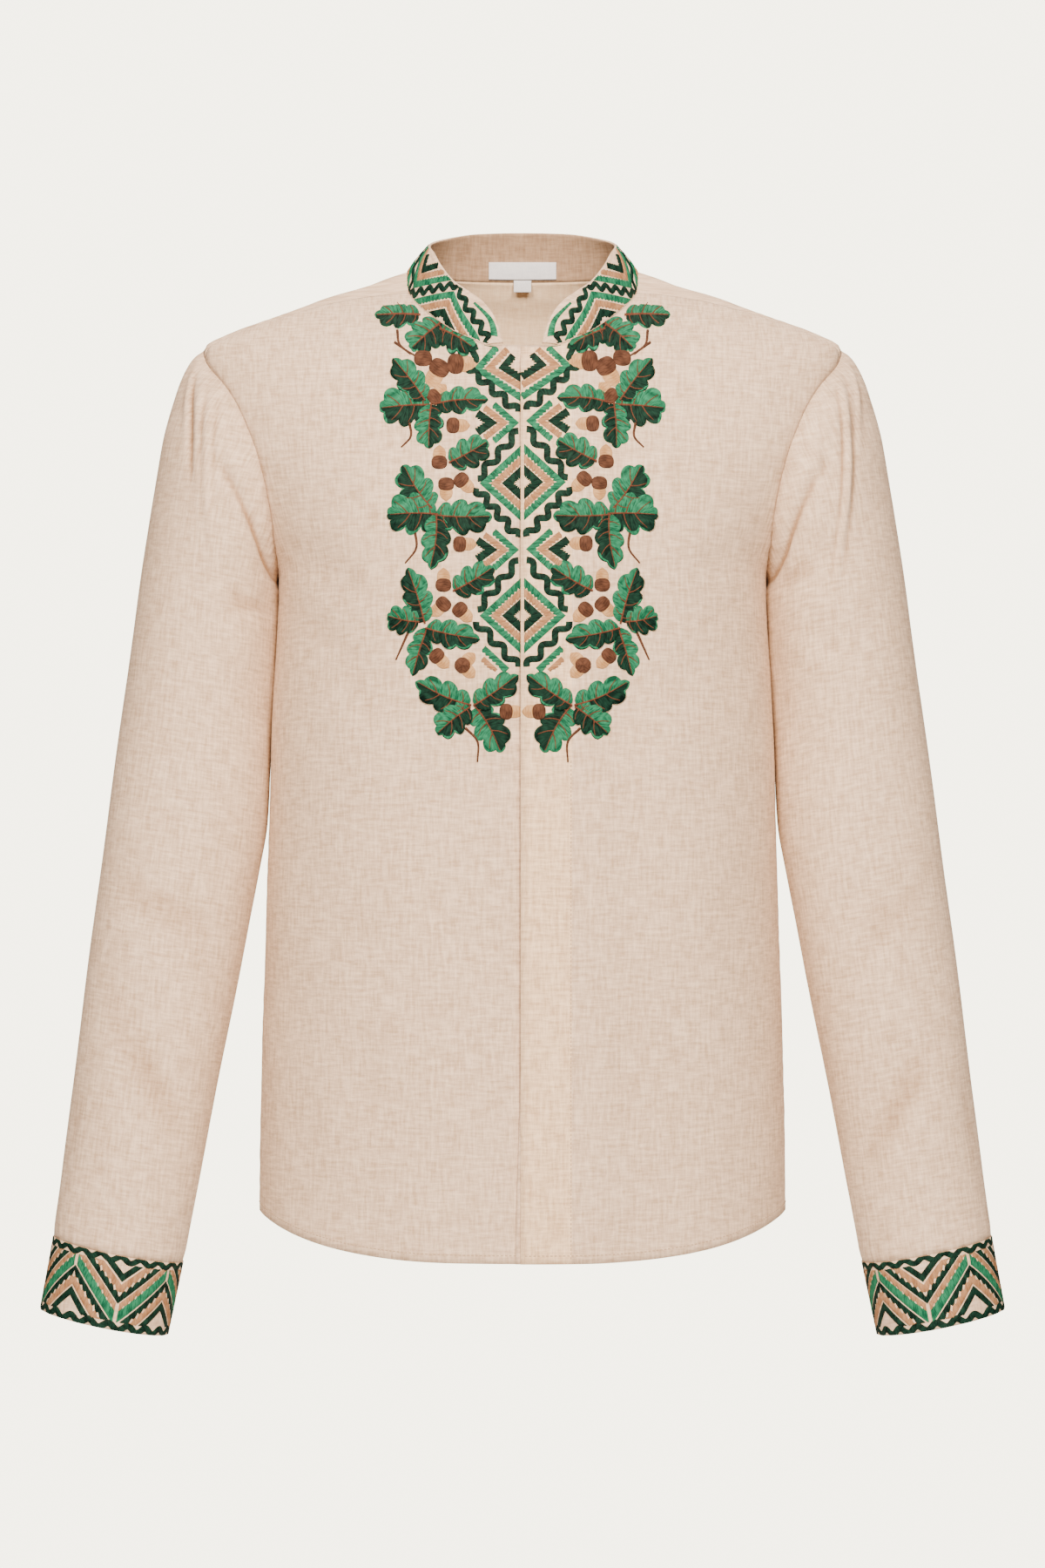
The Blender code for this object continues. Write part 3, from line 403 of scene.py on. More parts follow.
# From 0 to 1, how far a point's lift falls short of the mean of the four points a few steps off round it
def hollows(lift, closed=False):
    reach = 4
    wide = np.pad(lift, ((reach, reach), (0, 0)), mode="edge")
    wide = np.pad(wide, ((0, 0), (reach, reach)), mode="wrap" if closed else "edge")
    inner = slice(reach, -reach)
    around = wide[: -2 * reach, inner] + wide[2 * reach :, inner]
    around = around + wide[inner, : -2 * reach] + wide[inner, 2 * reach :]
    return np.clip((around / 4.0 - lift) / creaseShadeLook["span"] - creaseShadeLook["least"], 0.0, 1.0)


# Painted shade: dark in the seam, most at the armpit, in a dip beside it and in the folds
def bodyCreaseShade(points, lift, fromSide):
    z = points[..., 2]
    toArmpit = smoothStep(np.abs(z - form["armpitZ"]) / creaseShadeLook["armpitReach"])
    inArmhole = np.arange(len(points))[:, None] >= steps["bodyRows"]
    armhole = creaseShadeLook["armhole"] - creaseShadeLook["armholeFall"] * toArmpit
    line = np.where(inArmhole, armhole, creaseShadeLook["sideSeam"]) * bell(fromSide, creaseShadeLook["bodyLine"])
    dip = smoothStep((form["lowestShoulderZ"] - z) / creaseShadeLook["dipFade"]) * (1.0 - 0.5 * toArmpit)
    depth = line + creaseShadeLook["dip"] * dip * bell(fromSide, creaseShadeLook["dipWidth"])
    return np.clip(np.maximum(creaseShadeLook["bodyFolds"] * hollows(lift), depth), 0.0, 1.0)


def bodyUv(plan, side):  # the way round the level section from the centre, and up the centre line
    share = np.linspace(0.0, 1.0, steps["mapRing"])[:, None, None]
    ring = bodyPoint(share * plan[..., 0], plan[..., 1] + 0.0 * share, side)
    lowest, highest = -0.73, 0.01
    heights = np.linspace(lowest, highest, steps["mapProfile"])
    profile = np.stack([sectionValue(2 if side > 0 else 3, heights), heights], axis=1)
    return np.stack([runAlong(ring)[-1], np.interp(plan[..., 1], heights, runAlong(profile))], axis=-1)


# Round the shoulder's tip the cloth stands out, so that the outline runs on into the sleeve
shoulderRound = {"x": 0.232, "z": -0.056, "reach": 0.020, "out": 0.0018, "up": 0.0028}


def roundedShoulder(points):  # moved out and up by a bell around the tip, twice as wide from front to back
    x, y, z = np.moveaxis(points, -1, 0)
    far = np.sqrt((x - shoulderRound["x"]) ** 2 + (y / 2.0) ** 2 + (z - shoulderRound["z"]) ** 2)
    near = bell(far, shoulderRound["reach"])
    return points + near[..., None] * np.array([shoulderRound["out"], 0.0, shoulderRound["up"]])


# Half of the front or back: rows from the hem up, columns from the centre out. The left edge follows the
# centre and the neckline, the right one the side seam and the armhole. The points between are blended in
# angle and height, and drawn to the hem and the shoulder seam at the ends.
def halfBody(side, half):
    neckRows, last, split = steps["neckSteps"], len(neck) - 1, form["neckSplit"]
    lower = np.linspace(form["hemCentreZ"], form["armpitZ"], steps["bodyRows"] + 1)[:-1]
    if side > 0:
        upper = np.linspace(form["armpitZ"], form["frontNeckZ"], steps["frontEdgeRows"] + 1)
        places = np.linspace(last, split, (last - split) * neckRows + 1)
        seam = neckSeam(places)
        flat = np.linspace(0.0, 1.0, steps["flatEdgeRows"] + 1)[1:-1, None]
        corner = np.array([[0.0, -sectionValue(2, form["frontNeckZ"]), form["frontNeckZ"]]])
        edge = np.concatenate([corner + flat * (seam[:1] - corner), seam])
    else:
        upper = np.linspace(form["armpitZ"], sections[0, 0], steps["backEdgeRows"] + 1)
        places = np.linspace(0, split, split * neckRows + 1)[1:]
        edge = neckSeam(places)
    centre = np.concatenate([lower, upper])
    edgeAngle = bodyAngle(edge[:, 0], edge[:, 1], edge[:, 2], side)
    left = np.concatenate([
        np.stack([0.0 * centre, centre], axis=1),
        np.stack([edgeAngle, edge[:, 2]], axis=1),
    ])
    hole = armholeEdge(armholes["front" if side > 0 else "back"], len(left) - steps["bodyRows"], side)
    sideZ = np.linspace(form["hemSideZ"], form["armpitZ"], steps["bodyRows"] + 1)[:-1]
    right = np.concatenate([np.stack([90.0 + 0.0 * sideZ, sideZ], axis=1), hole])
    u = np.linspace(0.0, 1.0, steps["columns"] + 1)[None, :, None]
    v = np.linspace(0.0, 1.0, len(left))[:, None, None]
    plan = (1 - u) * left[:, None] + u * right[:, None]
    hemAngles = np.linspace(0.0, 90.0, steps["columns"] + 1)
    hem = np.stack([hemAngles, hemHeight(hemAngles)], axis=1)[None]
    shoulder = shoulderSeam(steps["columns"] + 1)
    if side < 0:
        shoulder[:, 0] = 180.0 - shoulder[:, 0]
    plan = plan + (1 - v) ** 4 * (hem - plan[:1]) + v**8 * (shoulder[None] - plan[-1:])
    points = bodyPoint(plan[..., 0], plan[..., 1], side)
    neckRow = len(centre)
    points[neckRow:, 0] = edge
    points[:neckRow, 0, 0] = 0.0
    points = roundedShoulder(points)
    normals = gridNormals(points, False, np.array([0.0, 0.0, -0.35]))
    if side < 0:
        normals[:neckRow, 0, 0] = 0.0
        normals = unit(normals)
    fromSide = runAlong(points[:, ::-1].transpose(1, 0, 2)).T[:, ::-1]
    fromShoulder = runAlong(points[::-1])[::-1]
    fromCollar = runAlong(points.transpose(1, 0, 2)).T
    edgeRun = runAlong(points[:, -1])[:, None]
    shoulderRun = runAlong(points[-1])[None, :]
    lift = bodyLift(points[..., 0], points[..., 2], side, half)
    foldFade, cornerFade = seamLook["foldFade"], seamLook["cornerFade"]
    lift = lift * smoothStep(np.minimum(fromSide, fromShoulder) / foldFade)
    nearCollar = np.where(np.arange(len(points))[:, None] >= neckRow, fromCollar, 1.0)
    lift = lift * smoothStep(nearCollar / foldFade)
    lift = lift + seamLift(fromSide, edgeRun, side + 2.0 * half) * smoothStep(fromShoulder / cornerFade)
    lift = lift + seamLift(fromShoulder, shoulderRun, 3.0 + side) * smoothStep(fromSide / cornerFade)
    return {
        "points": points,
        "normals": normals,
        "lift": lift,
        "neckRow": neckRow,
        "creaseShade": bodyCreaseShade(points, lift, fromSide),
        "uv": bodyUv(plan, side),
    }


# Gathers at the head of both sleeves (place round the armhole from the armpit, width, length, height)
gathers = [
    (0.330, 0.014, 0.050, 0.0016),
    (0.365, 0.013, 0.060, 0.0022),
    (0.398, 0.015, 0.095, 0.0036),
    (0.432, 0.012, 0.110, 0.0058),
    (0.455, 0.007, 0.050, 0.0026),
    (0.476, 0.009, 0.070, 0.0034),
    (0.502, 0.010, 0.040, 0.0020),
    (0.530, 0.011, 0.065, 0.0034),
    (0.562, 0.012, 0.120, 0.0050),
    (0.584, 0.008, 0.050, 0.0024),
    (0.606, 0.015, 0.080, 0.0032),
    (0.640, 0.013, 0.045, 0.0018),
]

# Folds of the sleeve (place round the tube and distance down it at both ends, width, depth)
sleeveFolds = [
    (0.000, 0.004, 0.300, 0.036, 0.0056, 0.0046),
    (1.000, 0.004, 0.710, 0.034, 0.0056, 0.0042),
    (0.436, 0.006, 0.350, 0.056, 0.0042, 0.0028),
    (0.568, 0.008, 0.650, 0.052, 0.0045, 0.0022),
    (0.10, 0.020, 0.30, 0.120, 0.018, 0.0040),
    (0.06, 0.075, 0.24, 0.230, 0.022, 0.0032),
    (0.90, 0.030, 0.70, 0.140, 0.020, 0.0036),
    (0.95, 0.090, 0.78, 0.240, 0.022, 0.0028),
    (0.18, 0.330, 0.40, 0.385, 0.020, 0.0022),
    (0.85, 0.350, 0.62, 0.420, 0.022, 0.0022),
    (0.12, 0.440, 0.34, 0.480, 0.018, 0.0018),
    (0.03, 0.012, 0.20, 0.075, 0.007, 0.0014),
    (0.13, 0.060, 0.29, 0.165, 0.008, 0.0012),
    (0.22, 0.120, 0.30, 0.260, 0.010, 0.0010),
    (0.96, 0.014, 0.80, 0.090, 0.008, 0.0013),
    (0.80, 0.120, 0.70, 0.250, 0.010, 0.0010),
    (0.14, 0.300, 0.27, 0.330, 0.009, 0.0010),
    (0.10, 0.372, 0.24, 0.392, 0.009, 0.0011),
    (0.28, 0.400, 0.42, 0.470, 0.012, 0.0009),
    (0.90, 0.315, 0.76, 0.345, 0.010, 0.0010),
    (0.40, 0.520, 0.44, 0.600, 0.010, 0.0008),
    (0.24, 0.540, 0.22, 0.618, 0.009, 0.0007),
    (0.68, 0.530, 0.66, 0.615, 0.010, 0.0008),
]


# On the sleeve above the cuff's seam: where the folds die away, and the height and reach of puff and puckers
cuffSeam = {
    "foldFade": 0.02,
    "puff": 0.0006,
    "puffReach": 0.010,
    "puffEnd": 0.045,
    "puckers": 26,
    "pucker": 0.0003,
    "puckerStart": 0.004,
    "puckerEnd": 0.030,
}


def cuffSeamLift(toCuff, turn, half):  # a swelling above the seam, with an uneven sine of puckers round it
    puff = cuffSeam["puff"] * smoothStep(toCuff / cuffSeam["puffReach"])
    puff = puff * (1 - smoothStep(toCuff / cuffSeam["puffEnd"]))
    beat = 2 * np.pi * turn[None, :] * cuffSeam["puckers"]
    wave = np.sin(beat + 1.4 * np.sin(beat * 0.31 + half))
    pucker = cuffSeam["pucker"] * wave * smoothStep(toCuff / cuffSeam["puckerStart"])
    return puff + pucker * (1 - smoothStep(toCuff / cuffSeam["puckerEnd"]))


# Painted shade on the sleeve: dark in the armhole's seam, most at the armpit, and in the folds
def sleeveCreaseShade(down, turn, lift):  # dark in the armhole's seam, most at the armpit, and in the folds
    fromArmpit = np.minimum(turn, 1.0 - turn)[None, :] * form["shoulderGirth"]
    toArmpit = smoothStep(fromArmpit / creaseShadeLook["armpitReach"])
    armhole = creaseShadeLook["armhole"] - creaseShadeLook["armholeFall"] * toArmpit
    upper = 1.0 - smoothStep((down - creaseShadeLook["armpitLength"]) / creaseShadeLook["armpitFade"])
    strength = creaseShadeLook["sleeveFolds"] + creaseShadeLook["armpitFolds"] * (1.0 - toArmpit) * upper
    folds = np.minimum(strength * hollows(lift, True), 1.0)
    return np.maximum(folds, armhole * bell(down, creaseShadeLook["sleeveLine"]))


# The sleeve and cuff as rings that start as the armhole and turn round: in each section's own axes,
# a ring is a blend of the armhole's loop, scaled, and an ellipse.
def sleeveGrid(front, back, half):
    frontEdge = front["points"][steps["bodyRows"]:, -1]
    backEdge = back["points"][steps["bodyRows"]:, -1]
    loop = np.concatenate([frontEdge, backEdge[::-1][1:-1]])
    run = runAlong(np.concatenate([loop, loop[:1]]))
    turn = (run / run[-1])[:-1]
    topTurn = turn[np.argmax(loop[:, 2])]
    angle = np.where(turn < topTurn, np.pi * (1 - turn / topTurn), np.pi * (topTurn - turn) / (1 - topTurn))
    knots = np.arange(len(sleeveSections), dtype=float)
    cuffStart = len(knots) - form["cuffSections"]
    stations = np.concatenate([
        np.linspace(0.0, cuffStart, steps["sleeveRings"] + 1),
        cuffStart + np.linspace(0.0, 1.0, steps["cuffRings"] + 1)[1:],
    ])
    rows = np.stack([curveThrough(knots, sleeveSections[:, c], stations) for c in range(7)], axis=1)
    middle, halfLine = (rows[:, 0:2] + rows[:, 2:4]) / 2.0, (rows[:, 0:2] - rows[:, 2:4]) / 2.0
    length = np.linalg.norm(halfLine, axis=1, keepdims=True)
    across = halfLine / length
    normal = np.stack([across[:, 1], -across[:, 0]], axis=1)
    offset = loop[:, [0, 2]] - middle[0]
    roundness, halfDepth = rows[:, 6:7], rows[:, 4:5]
    reach = (1 - roundness) * (offset @ across[0] / length[0]) + roundness * np.cos(angle)
    armDepth = (1 - roundness) * loop[:, 1] * halfDepth / sleeveSections[0, 4]
    depth = armDepth - roundness * halfDepth * np.sin(angle)
    lean = (1 - roundness) * (offset @ normal[0])
    flat = middle[:, None] + reach[..., None] * halfLine[:, None] + lean[..., None] * normal[:, None]
    grid = np.stack([flat[..., 0], depth + rows[:, 5:6], flat[..., 1]], axis=-1)
    normals = gridNormals(grid, True, grid.mean(axis=1, keepdims=True))
    down = runAlong(grid)
    lift = sleeveLift(down, turn, half)
    cuffRow = steps["sleeveRings"]
    toCuff = down[cuffRow] - down
    lift = lift * smoothStep(np.abs(toCuff) / cuffSeam["foldFade"])
    lift[cuffRow:] = 0.0
    around = (turn * run[-1])[None, :]
    lift = lift + seamLift(down, around + 0.0 * down, 5.0 + half)
    lift = lift + np.where(np.arange(len(grid))[:, None] < cuffRow, cuffSeamLift(toCuff, turn, half), 0.0)
    return {
        "points": grid,
        "normals": normals,
        "lift": lift,
        "turn": turn,
        "topTurn": topTurn,
        "cuffRow": cuffRow,
        "creaseShade": sleeveCreaseShade(down, turn, lift),
    }


# Under the armpit the sleeve's inner side swells until it rests against the body
underarm = {"height": 0.0024, "width": 0.022, "length": 0.075, "fade": 0.050}

# Uneven hang of the sleeve, and the length over which all the lift grows from the armhole's seam
sleeveHang = {
    "height": 0.0005,
    "startRun": 0.12,
    "fade": 0.1,
    "seamFade": 0.012,
    "headFade": 0.018,
    "headReach": 0.12,
}


# Ridges at the head, folds pressed in, a slow sway and the swelling under the armpit, not alike on both arms
def sleeveLift(down, turn, half):
    girth = form["shoulderGirth"]
    lift = np.zeros(down.shape)
    for n, (place, width, length, height) in enumerate(gathers):
        own = 1.0 + 0.22 * half * np.sin(2.3 * n + 1.0)
        lean = (1.7 if place < 0.5 else -1.7) * np.minimum(down, 0.15)
        off = (turn[None, :] - place - 0.003 * half * np.sin(1.9 * n) + lean) * girth
        ridge = own * height * (1.0 - smoothStep(down / (length * own)))
        lift += ridge * bell(off, 0.42 * width)
    around = np.broadcast_to(turn[None, :] * girth, down.shape)
    folds = []
    for n, (place0, run0, place1, run1, width, depth) in enumerate(sleeveFolds):
        shift = 0.010 * half * np.sin(2.7 * n)
        folds.append((place0 * girth, run0 + shift, place1 * girth, run1 + shift, width, depth))
    lift -= troughs(around, down, folds, 0.1)
    sway = np.sin(2 * np.pi * (2 * turn[None, :] + down / 0.31) + half) * np.sin(down / 0.047 + 2.0 * half)
    lift += sleeveHang["height"] * sway * smoothStep((down - sleeveHang["startRun"]) / sleeveHang["fade"])
    inward = bell(np.minimum(turn, 1.0 - turn)[None, :] * girth, underarm["width"])
    lift += underarm["height"] * inward * (1.0 - smoothStep((down - underarm["length"]) / underarm["fade"]))
    reach = sleeveHang["headReach"]
    head = smoothStep(around / reach) * smoothStep((girth - around) / reach)
    return lift * smoothStep(down / (sleeveHang["seamFade"] + sleeveHang["headFade"] * head))


# Round the arm from its outer line, by the angle on an ellipse through its four edge lines, and down its axis
def sleeveUv(points, turn, topTurn):
    middle = points[:, :-1].mean(axis=1)
    axis = unit(middle[-1] - middle[0])
    out = unit(np.array([1.0, 0.0, 0.0]) - axis[0] * axis)
    fromHead = points - middle[0]
    down, wide, deep = fromHead @ axis, fromHead @ out, fromHead @ np.cross(axis, out)
    places = (topTurn, 0.0, topTurn / 2.0, (1.0 + topTurn) / 2.0)
    lines = [np.argmin(np.abs(turn - place)) for place in places]
    outer, inner = [np.interp(down, down[:, k], wide[:, k]) for k in lines[:2]]
    front, back = [np.interp(down, down[:, k], deep[:, k]) for k in lines[2:]]
    halfWide, halfDeep = (outer - inner) / 2.0, np.abs(front - back) / 2.0
    deepShare = np.abs(deep - (front + back) / 2.0) / halfDeep
    angle = np.arctan2(deepShare, (wide - (outer + inner) / 2.0) / halfWide)
    around = np.where(turn < topTurn, -1.0, 1.0) * angle * np.sqrt(halfWide * halfDeep)
    return np.stack([around, down], axis=-1)


# Rows from the seam up, columns from the centre back to the front end, bellied out by a half sine up the rows
def collarGrid():
    places = np.linspace(0, len(neck) - 1, (len(neck) - 1) * steps["neckSteps"] + 1)
    seam, top = neckSeam(places), pathThrough(neck[:, 2:5], places)
    seam[0, 0] = top[0, 0] = 0.0
    share = np.linspace(0.0, 1.0, steps["collarRows"] + 1)[:, None, None]
    grid = (1 - share) * seam[None] + share * top[None]
    normals = gridNormals(grid, False, np.zeros(3))
    normals[:, 0, 0] = 0.0
    normals = unit(normals)
    grid = grid + form["collarBelly"] * np.sin(np.pi * share) * normals
    grid[:, 0, 0] = 0.0
    return {"points": grid, "normals": normals}


# Meshes from grids


def mirrored(points):  # the same points across the centre plane
    return points * np.array([-1.0, 1.0, 1.0])


def gridUv(points, origin=(0.0, 0.0)):  # distance along the cloth, across and down, in metres
    across = runAlong(points.transpose(1, 0, 2)).T
    down = runAlong(points)
    return np.stack([across + origin[0], down + origin[1]], axis=-1)


weldSteps = 2.0e6  # to the metre: points that round to the same step are one
leastArea = 1e-11  # quads smaller than about this, in square metres, are left out


# One mesh from several grids, each (points, uv, outward directions): four neighbours make a quad, turned
# outward. Points that meet are welded. Picks give each grid's finish, and the crease values each point's
# painted shade.
def meshFromGrids(name, grids, materials, picks=None, creasesAndShades=None):
    corners, uvs, marks, start = [], [], [], 0
    allPoints = np.concatenate([points.reshape(-1, 3) for points, uv, outward in grids])
    for number, (points, uv, outward) in enumerate(grids):
        index = np.arange(points.shape[0] * points.shape[1]).reshape(points.shape[:2]) + start
        start += index.size
        quads = np.stack([index[:-1, :-1], index[:-1, 1:], index[1:, 1:], index[1:, :-1]], axis=-1)
        quads = quads.reshape(-1, 4)
        flatUv = uv.reshape(-1, 2)
        a, b, d = (allPoints[quads[:, k]] for k in (0, 1, 3))
        facing = np.cross(b - a, d - a)
        own = outward.reshape(-1, 3)[quads[:, 0] - index[0, 0]]
        if np.sum(facing * own) < 0:
            quads = quads[:, ::-1]
        quads = quads[np.linalg.norm(np.cross(allPoints[quads[:, 2]] - a, b - d), axis=1) > leastArea]
        corners.append(quads)
        uvs.append(flatUv[quads - index[0, 0]])
        marks.append(np.full(len(quads), 0 if picks is None else picks[number]))
    quads = np.concatenate(corners)
    keys = np.round(allPoints * weldSteps).astype(np.int64)
    firsts, inverse = np.unique(keys, axis=0, return_index=True, return_inverse=True)[1:]
    quads = inverse.reshape(-1)[quads]
    mesh = bpy.data.meshes.new(name)
    mesh.vertices.add(len(firsts))
    mesh.vertices.foreach_set("co", allPoints[firsts].ravel())
    mesh.loops.add(quads.size)
    mesh.loops.foreach_set("vertex_index", quads.ravel().astype(np.int32))
    mesh.polygons.add(len(quads))
    mesh.polygons.foreach_set("loop_start", np.arange(0, quads.size, 4, dtype=np.int32))
    mesh.polygons.foreach_set("material_index", np.concatenate(marks).astype(np.int32))
    layer = mesh.uv_layers.new(name="cloth")
    layer.data.foreach_set("uv", np.concatenate(uvs).ravel().astype(np.float32))
    # the crease attribute holds each point's painted shade, from 0 to 1
    if creasesAndShades:
        paintedShade = np.concatenate([creaseShade.ravel() for creaseShade in creasesAndShades])[firsts]
        mesh.attributes.new("creaseShade", "FLOAT", "POINT").data.foreach_set("value", paintedShade.astype(np.float32))
    for material in materials:
        mesh.materials.append(material)
    mesh.update()
    mesh.validate()
    mesh.shade_smooth()
    piece = bpy.data.objects.new(name, mesh)
    bpy.context.collection.objects.link(piece)
    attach(piece, "root")
    return piece


# The cloth's thickness, half on each side of its middle surface; a second finish goes inside: painted light
# on the back, painted shade on the collar
def thicken(piece, thickness):
    solid = piece.modifiers.new("thickness", "SOLIDIFY")
    solid.thickness = thickness
    solid.offset = 0.0
    solid.material_offset = len(piece.data.materials) - 1
    solid.use_even_offset = True
    return piece


def liftedGrid(surface, extra=0.0):  # the form's points moved out along their normals by the lift and extra
    return surface["points"] + surface["normals"] * (surface["lift"] + extra)[..., None]


# Materials


def shaderNodes(material):  # the material's nodes and links, and its Principled shader
    material.use_nodes = True
    nodes, links = material.node_tree.nodes, material.node_tree.links
    shader = nodes["Principled BSDF"]
    return nodes, links, shader


def newGroup(name, inputs, outputs):  # a shader node group with its sockets
    group = bpy.data.node_groups.new(name, "ShaderNodeTree")
    for label, kind, value in inputs:
        socket = group.interface.new_socket(label, in_out="INPUT", socket_type=kind)
        if value is not None:
            socket.default_value = value
    for label, kind in outputs:
        group.interface.new_socket(label, in_out="OUTPUT", socket_type=kind)
    return group, group.nodes.new("NodeGroupInput"), group.nodes.new("NodeGroupOutput")


def mathNode(group, operation, *values, clamp=False):  # one arithmetic node, fed by sockets or numbers
    node = group.nodes.new("ShaderNodeMath")
    node.operation = operation
    node.use_clamp = clamp
    for socket, value in zip(node.inputs, values):
        if isinstance(value, (int, float)):
            socket.default_value = value
        else:
            group.links.new(value, socket)
    return node.outputs[0]


def blended(group, first, firstShare, second, secondShare, clamp=False):  # two values, each times its share
    own = mathNode(group, "MULTIPLY", first, firstShare)
    other = mathNode(group, "MULTIPLY", second, secondShare)
    return mathNode(group, "ADD", own, other, clamp=clamp)


# Noise on the vector times a scale per axis
def stretchedNoise(group, vector, scale, detail, roughness=0.55):
    stretch = group.nodes.new("ShaderNodeVectorMath")
    stretch.operation = "MULTIPLY"
    stretch.inputs[1].default_value = scale
    group.links.new(vector, stretch.inputs[0])
    noise = group.nodes.new("ShaderNodeTexNoise")
    noise.inputs["Scale"].default_value = 1.0
    noise.inputs["Detail"].default_value = detail
    noise.inputs["Roughness"].default_value = roughness
    group.links.new(stretch.outputs[0], noise.inputs["Vector"])
    return noise.outputs["Fac"]


# Slubbed plain weave on cloth coordinates in metres. Scales across and along the threads, the slubs' share of
# the relief, and the gain and shift that spread the relief over the tones.
weaveLook = {
    "slub": (430.0, 52.0),
    "thread": (1150.0, 150.0),
    "patch": 14.0,
    "slubShare": 0.70,
    "spread": (5.8, -2.4),
    "threadTone": 0.8,
    "patchTone": 0.2,
}


# Streaked noise along both directions for the slubs and for finer threads, with a slow change of tone
def makeWeaveGroup():
    group, given, result = newGroup(
        "slubWeave",
        [("Vector", "NodeSocketVector", None)],
        [("Tone", "NodeSocketFloat"), ("Height", "NodeSocketFloat")],
    )
    vector = given.outputs["Vector"]
    wide, long = weaveLook["slub"]
    warp = stretchedNoise(group, vector, (wide, long, 1.0), 2.0)
    weft = stretchedNoise(group, vector, (long * 1.3, wide * 0.92, 1.0), 2.0)
    wide, long = weaveLook["thread"]
    fineWarp = stretchedNoise(group, vector, (wide, long, 1.0), 1.0)
    fineWeft = stretchedNoise(group, vector, (long, wide, 1.0), 1.0)
    patch = weaveLook["patch"]
    slow = stretchedNoise(group, vector, (patch, patch * 0.6, 1.0), 3.0)
    share = weaveLook["slubShare"]
    slub, fine = mathNode(group, "ADD", warp, weft), mathNode(group, "ADD", fineWarp, fineWeft)
    height = blended(group, slub, 0.5 * share, fine, 0.5 * (1 - share))
    spread = mathNode(group, "MULTIPLY_ADD", height, *weaveLook["spread"])
    tone = blended(group, spread, weaveLook["threadTone"], slow, weaveLook["patchTone"], clamp=True)
    group.links.new(tone, result.inputs["Tone"])
    group.links.new(height, result.inputs["Height"])
    return group


def makeTintGroup():  # a colour times another by a share
    colourKind, numberKind = "NodeSocketColor", "NodeSocketFloat"
    group, given, result = newGroup(
        "tintedCloth",
        [("Colour", colourKind, None), ("By", colourKind, None), ("Share", numberKind, None)],
        [("Colour", colourKind)],
    )
    mix = group.nodes.new("ShaderNodeMix")
    mix.data_type = "RGBA"
    mix.blend_type = "MULTIPLY"
    named = {socket.identifier: socket for socket in mix.inputs}
    group.links.new(given.outputs["Share"], named["Factor_Float"])
    group.links.new(given.outputs["Colour"], named["A_Color"])
    group.links.new(given.outputs["By"], named["B_Color"])
    mixed = {socket.identifier: socket for socket in mix.outputs}["Result_Color"]
    group.links.new(mixed, result.inputs["Colour"])
    return group


# Stranded thread on coordinates across and along the stitches, in metres: scales, the gain and shift that
# spread the noise over the shades, and the gloss of the stitches
threadLook = {
    "strand": 1500.0,
    "length": 210.0,
    "patch": (190.0, 120.0),
    "spread": (4.6, -1.8),
    "bump": 0.7,
    "roughness": 0.55,
    "specular": 0.05,
}


def makeThreadGroup():  # noise drawn out along the strands, mixed with a slower one for the shade
    group, given, result = newGroup(
        "strandedThread",
        [("Vector", "NodeSocketVector", None)],
        [("Shade", "NodeSocketFloat"), ("Height", "NodeSocketFloat")],
    )
    vector = given.outputs["Vector"]
    fine, length = threadLook["strand"], threadLook["length"]
    strand = stretchedNoise(group, vector, (fine, length * 0.3, 1.0), 1.0)
    stitch = stretchedNoise(group, vector, (fine * 0.8, length, 1.0), 2.0, 0.6)
    slow = stretchedNoise(group, vector, (*threadLook["patch"], 1.0), 1.0)
    mixed = blended(group, stitch, 0.6, slow, 0.4)
    shade = mathNode(group, "MULTIPLY_ADD", mixed, *threadLook["spread"], clamp=True)
    height = blended(group, strand, 0.7, stitch, 0.3)
    group.links.new(shade, result.inputs["Shade"])
    group.links.new(height, result.inputs["Height"])
    return group


reliefDistance = 0.0006  # how far the bump of weave and thread reaches, in metres


# A material with a pattern group on the cloth's map: its tone runs from the dark colour to the light one, and
# its height goes to the bump
def patternedMaterial(name, pattern, tone, dark, light, bump):
    material = bpy.data.materials.new(name)
    nodes, links, shader = shaderNodes(material)
    place = nodes.new("ShaderNodeUVMap")
    place.uv_map = "cloth"
    layer = nodes.new("ShaderNodeGroup")
    layer.node_tree = pattern
    links.new(place.outputs["UV"], layer.inputs["Vector"])
    ramp = nodes.new("ShaderNodeValToRGB")
    ramp.color_ramp.elements[0].color = (*dark, 1.0)
    ramp.color_ramp.elements[1].color = (*light, 1.0)
    links.new(layer.outputs[tone], ramp.inputs["Fac"])
    relief = nodes.new("ShaderNodeBump")
    relief.inputs["Strength"].default_value = bump
    relief.inputs["Distance"].default_value = reliefDistance
    links.new(layer.outputs["Height"], relief.inputs["Height"])
    links.new(relief.outputs["Normal"], shader.inputs["Normal"])
    return material, ramp.outputs["Color"]


# The linen's finish, and what its colour is multiplied by: the painted shade in the creases, and the
# placket's doubled cloth
linenLook = {
    "bump": 0.6,
    "tapeBump": 0.15,
    "roughness": 0.86,
    "specular": 0.25,
    "sheen": 0.06,
    "sheenRoughness": 0.5,
    "creaseShadeTint": (0.56, 0.45, 0.36),
    "bandTint": (1.16, 1.12, 1.02),
    "bandFade": 0.0006,
}
